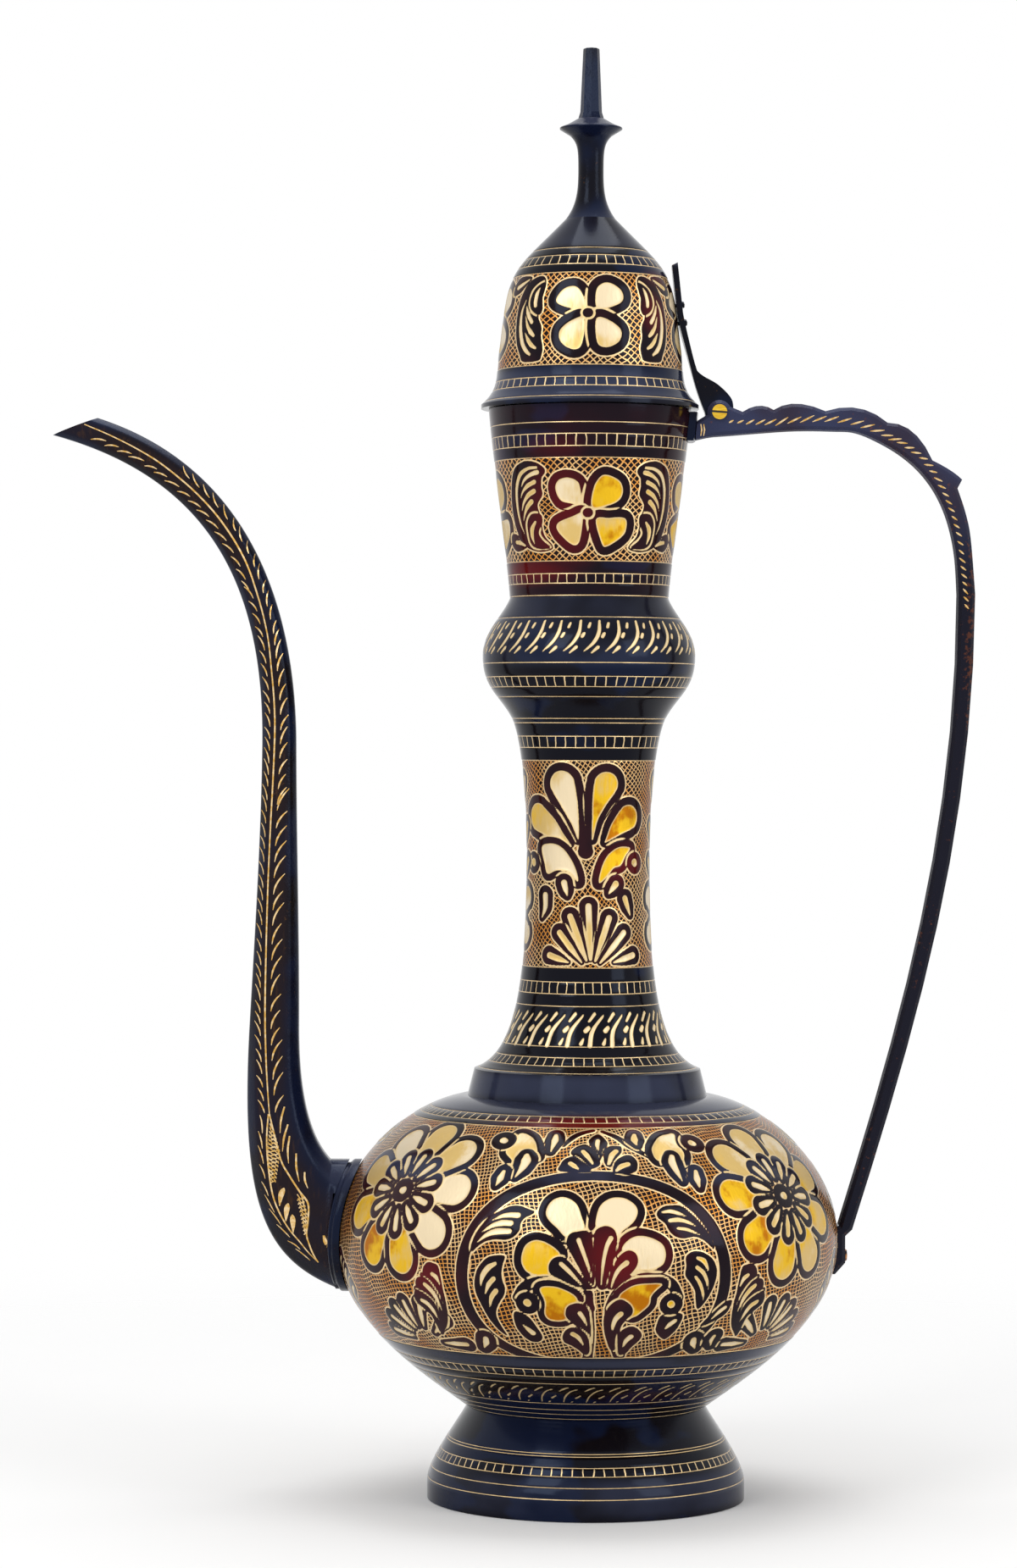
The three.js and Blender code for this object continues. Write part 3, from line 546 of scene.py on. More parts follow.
# The medallion's ring: its middle, its half widths, and the dark line's half widths round it
RING_MIDDLE = (1.4, 81.6)
RING_HALF = (51.9, 40.4)
RING_POINTS = 28
RING_DARK = [2.5, 2.3, 2, 2.3, 2.5, 2.3, 2, 2.3, 2.5]
RING_LEAVES = (
    ([(-21.2, 106.8), (-24, 107.9), (-27, 108.9), (-30.5, 108.6), (-34, 107), (-38, 104.6), (-42, 101.2),
      (-45, 97), (-46.6, 93), (-46.2, 90.6), (-44, 92.5), (-41, 94.6), (-37, 95.7), (-32, 95.8),
      (-29, 97.2), (-27, 99.6), (-26.6, 102), (-25, 104.3), (-22.6, 105.5)],
     (([(-27.6, 105.2), (-31, 105.2), (-34, 104.6), (-38, 102.8)], [1.1, 1, 0.7, 0.15], 0.05),
      ([(-30.4, 102.1), (-34, 102), (-38, 100.7), (-42, 98.2)], [1.1, 1.1, 0.8, 0.15], 0.05),
      ([(-31, 99), (-36, 98.7), (-40, 97.3), (-43.8, 94.4)], [1, 1.2, 0.8, 0.15], 0.05))),
    ([(-32.8, 89.8), (-38, 89.5), (-41, 87.8), (-43.8, 84.2), (-45, 79.8), (-44.6, 75.8), (-42.8, 71.5),
      (-39, 64.4), (-34.8, 59), (-31.6, 56.6), (-33.5, 60.2), (-35.8, 65), (-36, 68.5), (-34.6, 72),
      (-33, 74.6), (-32.6, 77.5), (-33.6, 80.4), (-34, 83.5), (-33.4, 87)],
     (([(-36.6, 86.7), (-39.5, 84.9), (-41.8, 81.5), (-42.6, 77)], [0.7, 1.1, 0.9, 0.15], 0.3),
      ([(-37.2, 80.9), (-39.2, 78.6), (-40.8, 74.2)], [0.9, 0.9, 0.15], 0.15),
      ([(-36.2, 76.2), (-38, 73.6), (-38.7, 69.2)], [1, 0.9, 0.15], 0.2))),
    ([(25.4, 104.6), (25, 106.6), (27.4, 108.7), (31, 109.2), (34.6, 108.8), (38.4, 106), (42.4, 102),
      (46.4, 97), (48.6, 91.6), (46.4, 93.4), (43.6, 95.6), (40, 96.9), (35.4, 96.4), (32, 97.4),
      (29.8, 99.4), (28.4, 102), (27, 103.2)],
     (([(27, 106.6), (30.4, 106.9), (33.6, 106), (36.6, 104.8)], [0.4, 0.8, 0.7, 0.2], 0.05),
      ([(30, 103.3), (33.5, 103.5), (37.5, 102.4), (41.4, 100.4)], [0.7, 0.85, 0.6, 0.15], 0.05),
      ([(33.2, 100.3), (36.5, 99.8), (39.6, 98.7), (42.8, 97.2)], [0.55, 0.6, 0.5, 0.15], 0.05))),
    ([(36.4, 89.4), (38.6, 91.2), (41.6, 91.4), (44.6, 90.4), (47.6, 88.2), (49.4, 84.6), (49, 80),
      (46.6, 74.6), (43, 69.6), (41.2, 69.2), (40.6, 73.4), (40.2, 76.6), (38.2, 79.8), (36.2, 82.6),
      (36.6, 86)],
     (([(41.2, 88.9), (44, 87.6), (45.8, 84.2)], [0.6, 1, 0.35], 0.9),
      ([(41, 85.4), (43.6, 83.3), (45.3, 80), (45.8, 76.4)], [0.8, 0.8, 0.6, 0.15], 0.75),
      ([(40.5, 81.8), (42.4, 79), (43.7, 75), (43.6, 72)], [0.6, 0.7, 0.6, 0.15], 0.85))))
CROWN = (
    ([(-16.9, 106.6), (-15.4, 110.4), (-12.2, 112.6), (-8.6, 112.5), (-5.3, 110), (-3.8, 106),
      (-2.3, 100.4), (-6.5, 99.6), (-9.4, 97.4), (-12.6, 100.6), (-15.8, 103.6)], 2.3, -0.15),
    ([(1.9, 101), (2, 105), (3.6, 109.6), (7.4, 112.5), (12.4, 112.5), (16.3, 110), (17.6, 107),
      (16.4, 103.6), (14, 101.3), (11.6, 99.4), (10.6, 97.6), (8, 99), (4.6, 98)], 2.3, -0.15),
    ([(-26.2, 90), (-25, 93.6), (-22.5, 95.6), (-19.5, 96), (-15.5, 94.6), (-11.6, 91.2), (-13, 88),
      (-14, 84.6), (-16.2, 82.6), (-20, 82.6), (-24, 84), (-25.9, 86.6)], 2.4, 0.75),
    ([(12.3, 94.6), (15.5, 97.2), (19, 97.8), (24, 96.5), (27.4, 94), (28.4, 90.5), (27.3, 87), (24, 85.3),
      (19, 84.9), (16, 85), (14, 88), (11.6, 92)], 2.3, 0.2))
BIRD_ARCHES = (
    [(-27.6, 74), (-25, 78), (-20, 80.4), (-14, 80.6), (-7, 78.8), (-2, 75), (0, 70)],
    [(33.6, 74), (31, 79), (26, 81.6), (19, 81.8), (13, 79), (9, 75), (6.8, 70)])
BIRDS = (
    ([(-19.2, 78), (-13.5, 78.7), (-8, 76.7), (-5, 74), (-5.6, 70.6), (-7.4, 67.6), (-9, 65), (-12.2, 64.2),
      (-15.6, 64.9), (-17.3, 67.4), (-17.3, 72.6)], 2.0, 1.1),
    ([(10.6, 75.2), (13, 77.6), (16.5, 79.4), (21, 79.9), (27.2, 79.6), (24.6, 77), (22.8, 74.6),
      (22.2, 71.4), (19.6, 68.6), (16.2, 66.2), (13, 68), (11, 72)], 2.0, 1.1))
BELOW_BIRDS = (
    ([(-28.8, 68), (-28.4, 62), (-25.5, 57), (-22, 54.2), (-19, 54.4), (-18, 57), (-20, 61), (-23.5, 66)],
     ([(-25.6, 62.2), (-23.2, 60), (-21.6, 58.4)], [0.3, 0.9, 1.1])),
    ([(27.4, 67), (25.2, 62.6), (25, 59.4), (27, 56.2), (28.8, 55.4), (31.5, 58), (34, 61.6), (35.2, 67)],
     ([(32.4, 64), (30.4, 62.4), (28.8, 60.6)], [0.9, 1, 0.4])))
HEART = (
    ([(-9.2, 96), (-8, 98.6), (-5.4, 99.6), (-1.5, 99.8), (0.4, 97), (1.2, 88), (2.2, 79), (-0.4, 79),
      (-4.2, 85.6), (-8.6, 93.4)],
     ([(-4.6, 96.3), (-3, 92), (-1.2, 87), (0.1, 82.6)], [0.9, 0.7, 0.6, 0.3])),
    ([(1.2, 98.4), (2.6, 100.8), (5.8, 101.8), (8.6, 100.4), (9.9, 97.4), (9.6, 94.6), (8.4, 89), (6.4, 79),
      (2.6, 78.6), (1.5, 88)],
     ([(7.4, 97), (5.9, 94), (4.6, 88), (3.9, 79.5)], [0.95, 0.75, 0.6, 0.25])),
    ([(-15.9, 86.6), (-14.4, 89.3), (-11, 90.2), (-7.8, 87.8), (-3.4, 82.6), (0.6, 78), (-5, 78.6),
      (-10.5, 81), (-15.2, 83.4)],
     ([(-11.2, 87.4), (-8, 84.4), (-3.4, 79.5)], [0.85, 0.8, 0.35])),
    ([(9.8, 89.4), (11.8, 91.6), (14.4, 92.6), (16.8, 91.4), (17.8, 88.6), (17, 86), (14.4, 83), (10, 79.4),
      (6.2, 78), (7.6, 84)],
     ([(13.4, 87.8), (10.6, 85.6), (8.6, 82), (7.7, 78.6)], [1, 0.8, 0.6, 0.3])))
STEMS = (
    ([(-0.6, 76), (-0.4, 69), (0, 58), (-0.9, 46)], [1.4, 1.6, 1.6, 1.9]),
    ([(8, 74), (7, 69), (8.2, 57), (11, 47)], [1.4, 1.8, 1.8, 2.2]))
LOBES = (
    ([(10.9, 73.9), (14, 72.6), (15.9, 70), (15.6, 67.2), (13.4, 65), (11.6, 62.2), (10.8, 58), (10.6, 52),
      (8, 50), (6, 56), (5, 62), (5.2, 67.5), (7.4, 71.8)],
     ([(11.3, 67.6), (9.5, 65.6), (8.5, 62.5), (8.2, 59.4)], [1.1, 1, 0.7, 0.15])),
    ([(15.4, 62), (18, 60.7), (19.5, 57.8), (18.4, 55), (15.6, 51.6), (13.2, 48), (10.8, 47.6), (10.2, 52),
      (10.4, 57.4), (12.2, 60.6)],
     ([(15.3, 57), (13.5, 55), (12.3, 51.6)], [1.1, 0.95, 0.2])),
    ([(-9.5, 68.4), (-8.6, 71), (-5.6, 72.4), (-2.6, 71.6), (-0.6, 69), (0.2, 62), (0.2, 54), (-2.2, 56),
      (-4.2, 61), (-7.6, 64.3), (-9.2, 66.3)],
     ([(-4, 68), (-2.6, 65.6), (-1.2, 62.2)], [0.9, 0.75, 0.2])),
    ([(-10.4, 57), (-9.4, 60), (-7, 61.6), (-3.6, 60.6), (-0.8, 57), (0, 50.6), (-0.8, 47.6), (-2.4, 48),
      (-4.4, 50.4), (-7, 52.6), (-9.6, 54.2)],
     ([(-6.6, 58.5), (-4.4, 56.6), (-2.4, 52.6)], [1, 0.9, 0.2])))


def mark_medallion(place):
    """The ring with its leaves, and in it a crown, two birds with ringed eyes, a heart and six lobes."""
    turns = np.linspace(0, TURN, RING_POINTS, endpoint=False)
    place.stroke([(RING_MIDDLE[0] + RING_HALF[0] * math.cos(a), RING_MIDDLE[1] + RING_HALF[1] * math.sin(a))
                  for a in turns], None, RING_DARK, closed=True)
    for body, slips in RING_LEAVES:
        mark_spray(place, [body], slips)
    for petal in CROWN:
        place.patch(*petal)
    for arch in BIRD_ARCHES:
        place.stroke(arch, None, [2, 2.2, 2.2, 1.6], seam=True)
    for bird in BIRDS:
        place.patch(*bird)
    mark_lobes(place, BELOW_BIRDS, 0.1)
    for eye in ((-24, 72), (30.6, 71.4)):
        mark_eye(place, eye, (0.3, -0.3), [1.5, 1.4], 3.9, 0.5)
    mark_lobes(place, HEART, 0.15)
    for path, halves in STEMS:
        place.stroke(path, None, halves)
    mark_lobes(place, LOBES, 0.12)


ABOVE_STEMS = (
    ([(1.2, 145.1), (-3.5, 143.3), (-7.3, 140.1), (-10, 136)], [0.8, 1.1, 1.1, 0.4]),
    ([(4.6, 144.5), (10.3, 140.8), (14, 136.7), (17.8, 133.9), (22.4, 130.4)], [0.8, 1.2, 1.2, 1.2, 0.8]))
ABOVE_RING = (
    ([(1.5, 133.6), (0, 136.6), (-0.6, 138.8), (0, 140.4), (1.6, 142.2), (3.1, 142.9), (4.7, 141.4),
      (5.9, 139.4), (6.5, 137.6), (5.6, 134.4), (4.6, 131.8), (3.3, 128.4), (2.6, 130.6)],
     ([(2.8, 139.2), (2.6, 137), (2.9, 134.2)], [0.9, 0.9, 0.3])),
    ([(-7.3, 132.3), (-6.6, 134.5), (-4.8, 136.1), (-2.4, 137.2), (-1, 136.6), (0.9, 134.4), (2.8, 130.6),
      (3.5, 127), (0.2, 125.2), (-2.2, 127), (-4.8, 129.5)],
     ([(-2.8, 133.6), (-1.3, 131.4), (0.8, 127.6)], [0.8, 1, 0.5])),
    ([(5.3, 127.6), (5, 132), (5.6, 134.5), (7.1, 136.1), (9.6, 136.4), (11.5, 136), (11.8, 134.5),
      (11.5, 132.6), (10.2, 130.8), (8.4, 128.3), (7.6, 125.9)],
     ([(9.6, 133.6), (8, 131.4), (6.8, 127.4)], [1, 1.1, 0.6])),
    ([(-11.6, 123.9), (-11.3, 127), (-9.8, 129.5), (-7.2, 130.8), (-4.8, 130.1), (-1, 125.8), (0, 125),
      (-1, 123.9)],
     ([(-7.7, 127.6), (-6.2, 126.4), (-4.6, 125)], [0.9, 1, 0.4])),
    ([(8.4, 125.1), (9.6, 128.9), (12.8, 131.4), (15.2, 131.4), (17.1, 129.5), (17.8, 127), (17.1, 123.9),
      (13.4, 122.7), (9, 123.6)],
     ([(14.1, 127.2), (11.6, 126.2), (9.8, 124.4)], [1, 1.1, 0.6])))
BIRDS_ABOVE = (
    [(-27.9, 140.8), (-27.6, 142.3), (-26, 142.9), (-23.8, 142), (-21.9, 140.1), (-20.7, 137),
     (-20.2, 133.9), (-20.1, 130.1), (-21.3, 132), (-22.9, 133.6), (-25.4, 134), (-27.9, 132.9),
     (-29.1, 130.1), (-29.3, 126.7), (-30.7, 128.9), (-32.6, 131.4), (-32.6, 133.3), (-31.3, 135.1),
     (-29.1, 137.6), (-27.9, 138.9)],
    [(24.6, 137.6), (25.9, 140.1), (27.8, 141.7), (30.3, 142.3), (32.1, 142.8), (33.4, 141.7),
     (33.5, 138.9), (34.3, 135.8), (35.9, 133.9), (36.9, 130.8), (36, 127), (35.3, 128.9), (34, 131),
     (31.5, 132), (29, 131.7), (27.1, 130.1), (26.5, 128.3), (24.6, 130.1), (23.6, 133.3), (23.7, 135.4)])
BIRD_DROPS = (
    ([(-24.4, 131), (-24.6, 128.4), (-26, 125.1), (-28.8, 120.8)], [1, 2, 1.4, 0.2], [3, 4.4, 3.8, 1.8]),
    ([(31.6, 130.4), (31.7, 127.4), (33.4, 123.3), (35.6, 118.9)], [1.1, 1.6, 1.1, 0.2], [3, 4, 3.4, 1.8]))
SMALL_DROPS = (
    [(-13, 142), (-13.4, 139), (-15.1, 133)],
    [(16.8, 142.3), (16.8, 139.6), (17.8, 136.4)],
    [(-33.5, 123), (-34.8, 120), (-36.6, 116.7)],
    [(41.4, 123), (41.8, 119.6), (42.8, 115.8)])


def mark_above(place):
    """Five lobes over the ring, two birds beside them and the drops around."""
    for path, halves in ABOVE_STEMS:
        place.stroke(path, None, halves)
    mark_lobes(place, ABOVE_RING, 0.15)
    for corners in BIRDS_ABOVE:
        place.patch(corners, 2.2, 0.4)
    for drop in BIRD_DROPS:
        place.stroke(*drop, 0.05, seam=True)
    for eye in ((-34, 138.4), (40.4, 137)):
        mark_eye(place, eye, (0.7, -0.4), [1.5, 1.3], 4.2, 0.2)
    for path in SMALL_DROPS:
        place.stroke(path, [0.8, 1.4, 0.2], [2.8, 3.4, 1.6], 0.12, seam=True)


# Beside the ring: s is measured on the belly's widest circle.
SIDE_LEAF = [(61.2, 84.4), (63.2, 85.3), (66, 85.5), (68.1, 83.8), (68.7, 82.2), (69.2, 80), (72, 79.1),
             (73.2, 77), (73, 75.4), (74.4, 73.8), (75.4, 71.2), (74.8, 68.6), (72.4, 66.6), (69.4, 64),
             (68.6, 61.2), (68.4, 56.8), (67.6, 54.4), (65.6, 56.2), (62.2, 60), (60.4, 64.4), (59.6, 70),
             (59.8, 75), (60.2, 80)]
SIDE_SLIPS = (
    ([(64.4, 81.2), (62.4, 80), (60.9, 76.9)], [0.7, 0.9, 0.2], 0.1),
    ([(68.6, 76.8), (66.2, 75), (64, 71.8), (62.8, 66.6)], [0.8, 1, 0.9, 0.2], 0.15),
    ([(71.8, 70), (69.2, 68.7), (67.4, 66.2), (65.9, 61.6)], [0.8, 1, 0.9, 0.2], 0.1),
    ([(69.4, 80.4), (65.6, 78.2), (62.6, 74), (61.2, 69.6)], [0.25, 0.4, 0.4, 0.15], 0.1),
    ([(73.6, 74.8), (68.8, 73), (65, 69.4), (64.6, 64.4)], [0.25, 0.4, 0.4, 0.15], 0.1))
BORDER_LEAF = [(58.4, 71.4), (55.6, 71.4), (51.8, 68.4), (48.4, 64.4), (46.4, 61.2), (49, 61.2), (52.6, 63),
               (56, 65), (57.8, 67.4)]
BORDER_SLIP = ([(56, 68.8), (53.6, 67), (50.6, 63.8)], [0.7, 0.85, 0.2], 0.1)
BORDER_DROPS = (
    ([(45.6, 54.4), (46.2, 52.4), (48.2, 49.4)], 1.3),
    ([(55.4, 55.4), (54.9, 53.4), (56, 50.4)], 0.9))


def mark_beside(place):
    """A three-lobed leaf between a rosette and the ring, and drops along the lower border."""
    def at_level(points):
        return [(s * place.outline.radius(v) / BELLY_RADIUS, v) for s, v in points]

    def spray(leaf, slips):
        mark_spray(place, [at_level(leaf)], [(at_level(path), halves, tint) for path, halves, tint in slips])

    spray(SIDE_LEAF, SIDE_SLIPS)
    drops = BORDER_DROPS
    if place.side > 0:
        spray(BORDER_LEAF, [BORDER_SLIP])
    else:
        drops = drops[:1]
    for path, half in drops:
        place.stroke(at_level(path), [half * 0.9, half, 0.2], [half + 2.5, half + 2.6, half + 1.2], 0.1,
                     seam=True)


HEART_LIFT = 18
LEAF_SHIFT = -42


def mark_flank(field, centre):
    """Between front and back: a fan, a heart on one side, and a pair of leaves with drops below them."""
    mark_fan(Place(field, centre), (0, 128), (20, 55, 90, 125, 160), 11, 5, 1.1, 3.0)
    if centre < math.pi:
        lifted = [(moved(body, 0, HEART_LIFT), (moved(path, 0, HEART_LIFT), halves))
                  for body, (path, halves) in HEART]
        mark_lobes(Place(field, centre), lifted, 0.15)
    slips = [(moved(path, LEAF_SHIFT), halves, tint) for path, halves, tint in SIDE_SLIPS]
    for side in (-1, 1):
        place = Place(field, centre, side)
        mark_spray(place, [moved(SIDE_LEAF, LEAF_SHIFT)], slips)
        mark_drop(place, (9, 66), (5, 58), 1.6, 2.4)
        mark_leaf(place, [(12, 86), (8, 80), (4, 72)], 1.3, 2.0)


# Where the rosettes' middles stand beside the ring, as side, s and v
ROSETTE_PLACES = ((-1, -81.3, 112), (1, 85.6, 110))


def body_marks(field):
    # Painted reflection in two bands: over the ring's top and at the shoulder
    field.paint_sheen(117, 128, 0.85)
    field.paint_sheen(154, 175, 0.8)
    for centre in (0.0, math.pi):
        mark_medallion(Place(field, centre))
        mark_above(Place(field, centre))
        for side, s, v in ROSETTE_PLACES:
            mark_rosette(Place(field, centre + s / field.outline.radius(v)), v, *ROSETTES[side])
            border = Place(field, centre + side * (81.5 + side * 3) / BELLY_RADIUS, side)
            mark_fan(border, (0, 49.8), (12, 34, 56, 77, 103, 140, 178), 19, 8, 1.2, 3.3)
            mark_beside(Place(field, centre, side))
        mark_flank(field, centre + math.pi / 2)
        for spot in ((9, 90, 17, 15, 1.0), (28, 93, 14, 11, 0.6), (2, 74, 20, 9, 0.4), (-66, 80, 14, 9, 0.8),
                     (-2, 149, 42, 6, 1.0)):
            field.blush(*spot, centre)


def foot_marks(field):
    # Painted reflection: a bluer band low on the foot
    field.paint_sheen(1, 16, 0.55)


def bowl_band(field):
    field.blush(0, 20, 2000, 9, 0.22)
    # Painted reflection: a bluer band between the flowers and the ladder
    field.paint_sheen(38.4, 45.2, 0.7)
    mark_rows(field, 43, (
        ([(3.1, 24.9), (0.2, 23.2), (-2.1, 19.4), (-3, 15)], [0.25, 0.33, 0.33, 0.2]),
        ([(-4.1, 23.2), (-2, 25.2), (0, 26.3)], [0.22, 0.38, 0.22]),
        ([(1.6, 18.2), (3.6, 20.2)], [0.4, 0.3]),
        ([(0, 15), (1, 15.8)], [0.3, 0.22])))


NECK_DROPS = (
    ([(-11, 129), (-8.2, 122), (-5.6, 114), (-4.3, 107.5)], [5.3, 3.6, 1.5, 0.2], [8, 6.2, 3.6, 1.6], 0.1),
    ([(6.6, 129), (4.3, 123), (2.3, 116), (1.2, 107.5)], [4.9, 3.1, 1.2, 0.2], [7.6, 5.6, 3.2, 1.5], 0.75),
    ([(-23, 116), (-17, 112.6), (-12, 109), (-7.8, 106)], [5.5, 4, 1.8, 0.2], [8.2, 6.4, 3.8, 1.6], 0.5),
    ([(16.4, 116), (12, 112.6), (8.6, 109), (6.2, 106.4)], [5, 3.3, 1.5, 0.2], [7.6, 5.6, 3.4, 1.5], 0.95))
NECK_LEAVES = (
    ([(-20.8, 104.5), (-15, 105.8), (-10, 103.5), (-5.6, 97), (-4.3, 91), (-8, 94.8), (-13, 95.4),
      (-17.5, 94), (-19.2, 98)], 2.2, 0.15),
    ([(17.5, 104.2), (12, 104.5), (7, 101), (4.4, 95), (4, 90.6), (7, 93), (10, 96.4), (13, 97.4),
      (15.5, 101.3)], 2.2, 0.85))
NECK_STEMS = (
    ([(-18.7, 85.6), (-18.7, 81), (-20.4, 77)], [1.3, 1.1, 0.3], [3.4, 3, 1.3], 0.2),
    ([(15, 84.6), (16.2, 81.4), (17.6, 78)], [1.2, 1.0, 0.3], [3.2, 2.8, 1.3], 0.5))
NECK_RAYS = (
    ((-0.2, 81.6), (0.7, 61)),
    ((-7.4, 77.6), (-0.8, 60.6)),
    ((-11.8, 71.2), (-2.8, 59.8)),
    ((-16.4, 62.4), (-8.2, 59.8)),
    ((8, 77), (2.4, 60.4)),
    ((14.4, 71.2), (4.4, 59.6)),
    ((19, 62.4), (10, 59.8)))


def neck_front(place):
    """Four long drops over two leaves, and seven rays that meet below them."""
    for drop in NECK_DROPS:
        place.stroke(*drop, seam=True)
    place.stroke([(-1.5, 112), (-1.4, 103)], None, [0.9, 3.0])
    for leaf in NECK_LEAVES:
        place.patch(*leaf)
    for eye in ((-26.4, 98.5), (19.9, 98.5)):
        mark_eye(place, eye, (0.3, -0.5), [1.5, 1.3], 3.6, 0.3)
    mark_drop(place, (-10, 90.6), (-8.6, 85.6), 1.3, 2.0)
    mark_drop(place, (10.8, 90.2), (7.8, 86.4), 1.3, 2.0)
    for stem in NECK_STEMS:
        place.stroke(*stem)
    for ray in NECK_RAYS:
        place.stroke(ray, [1.2, 1.2, 0.35], [3.2, 2.2, 0.6], 0.2, seam=True)
    place.blush(14, 98, 13, 9, 0.9)


def neck_side(place):
    """Half of a four-petalled flower, with drops above it."""
    for v, tip in ((84.5, 79.5), (70.5, 75.5)):
        place.stroke([(5.2, v), (1.2, tip)], [4.4, 0.8], [6.6, 2.2], 0.2)
    for head, tail in (((4.6, 131), (2, 124)), ((5, 113), (1.6, 106)), ((5.4, 99), (2, 93))):
        mark_drop(place, head, tail, 1.4, 2.2)


def neck_marks(field):
    # Painted reflection: a bluer band at the neck's foot
    field.paint_sheen(0, 11, 0.9)
    for centre in (0.0, math.pi):
        neck_front(Place(field, centre))
        for side in (-1, 1):
            neck_side(Place(field, centre + math.pi / 2, side))
    mark_rows(field, 24, (
        ([(-1.8, 26.8), (-0.6, 33), (3.8, 39.2)], [0.9, 0.8, 0.35]),
        ([(3.6, 27.6), (4.4, 30)], [0.8, 0.3]),
        ([(4.6, 33), (5.6, 34.2)], [0.95, 0.8]),
        ([(6, 36.8), (8, 39.8)], [0.5, 0.65])))


def bulb_marks(field):
    # Painted reflection: a bluer band round the bulb
    field.paint_sheen(24, 60, 0.5)
    mark_rows(field, 32, (
        ([(1.5, 42.6), (1.1, 37.2), (-1, 33), (-5, 29.4)], [0.45, 0.7, 0.65, 0.2]),
        ([(-2.8, 39.6), (-2.2, 41.4)], [0.6, 0.5]),
        ([(-5.2, 35.4), (-4.4, 36.8)], [0.65, 0.6]),
        ([(-10.2, 28.8), (-7.4, 31.2)], [0.25, 0.7])))


def mark_quarters(field, petals, margin, front_tints, side_tints, eye):
    """A flower of four petals about a small dark middle, at each quarter of the turn."""
    for quarter in range(4):
        place = Place(field, quarter * math.pi / 2)
        for corners, tint in zip(petals, side_tints if quarter % 2 else front_tints, strict=True):
            place.patch(corners, margin, tint)
        place.stroke(eye, None, [1.9, 1.9], seam=True)


def mark_sprays(field, bodies, slips, blushes):
    """A spray on both sides of the front and of the back, and the red spots there."""
    for centre in (0.0, math.pi):
        for side in (-1, 1):
            mark_spray(Place(field, centre, side), bodies, slips)
        for spot in blushes:
            field.blush(*spot, centre)


COLLAR_PETALS = (
    [(-14.2, 42), (-13, 45), (-9.5, 46), (-6, 45), (-4.4, 42.5), (-3.7, 34.8), (-7, 35.8), (-12, 37.2)],
    [(0.4, 34.4), (0.9, 42), (3.6, 46.4), (6.8, 47), (11.4, 44.6), (12.5, 40.6), (11, 37.4), (7, 35.3)],
    [(-3.4, 32), (-7.2, 31), (-13.2, 28.4), (-12.8, 25), (-8, 20.4), (-5.2, 20.2), (-3.8, 24)],
    [(1.9, 29.8), (7, 30.4), (13.4, 30.5), (14.2, 26.6), (12, 23), (6.4, 19.4), (4.2, 20.6)])
COLLAR_SPRAY = (
    [(38, 24.4), (34.6, 24.6), (30.6, 22.4), (28, 19.4), (33, 17.8), (36.4, 19), (38.4, 21.6)],
    [(30, 52.4), (26.5, 52.8), (22.5, 52), (19.2, 50), (18.8, 48), (20.2, 46), (20.3, 42.5), (19.8, 39.5),
     (22, 35.6), (20.6, 31), (19, 24), (15, 19), (20, 17.4), (26, 18.6), (30.5, 21.6), (34.5, 27.4),
     (36.8, 36), (36.4, 45), (34.4, 50)],
    [(20.6, 32), (25, 32.3), (27.3, 29.4), (27.2, 25.6), (25.4, 20.4), (21, 18.4), (16, 19), (19.6, 22),
     (21.4, 25), (19.8, 28.6)])
COLLAR_SLIPS = (
    ([(22.6, 50.2), (27, 49.8), (31.2, 47.4), (33.3, 42), (33, 35), (31.2, 28.6), (28.8, 24.4)],
     [0.5, 0.6, 0.8, 0.75, 0.6, 0.45, 0.15], 0.2),
    ([(22.2, 48.3), (25.6, 47.4), (28.8, 45.4), (30.4, 42.8)], [0.9, 0.8, 0.5, 0.15], 0.2),
    ([(23.6, 44.6), (27, 43.2), (29.6, 41), (30.8, 38.6)], [0.9, 0.8, 0.4, 0.15], 0.3),
    ([(23.8, 41), (26.8, 39.4), (29.2, 36.6), (30.2, 33.6)], [0.95, 0.85, 0.5, 0.15], 0.4),
    ([(25, 37), (27.2, 35), (28.6, 32.4), (29.4, 29.6)], [1, 0.85, 0.5, 0.15], 0.5),
    ([(23.2, 29), (24.8, 26.4), (24.8, 23.6), (23.7, 20.6)], [0.5, 1, 0.8, 0.2], 0.5),
    ([(34.4, 21.5), (31.6, 21.1), (28.8, 20)], [0.7, 0.8, 0.4], 0.4))


def collar_marks(field):
    field.blush(0, 40, 400, 400, 0.32)
    mark_quarters(field, COLLAR_PETALS, 2.6, (0.12, 0.72, 0.15, 0.85), (0.3, 0.2, 0.6, 0.2),
                  [(-1.5, 32.4), (-1, 32.4)])
    mark_sprays(field, COLLAR_SPRAY, COLLAR_SLIPS, (
        (-12, 32, 20, 26, 0.95), (-28, 10, 30, 7, 0.85), (-16, 58, 22, 9, 0.55), (26, 34, 14, 16, 0.45)))


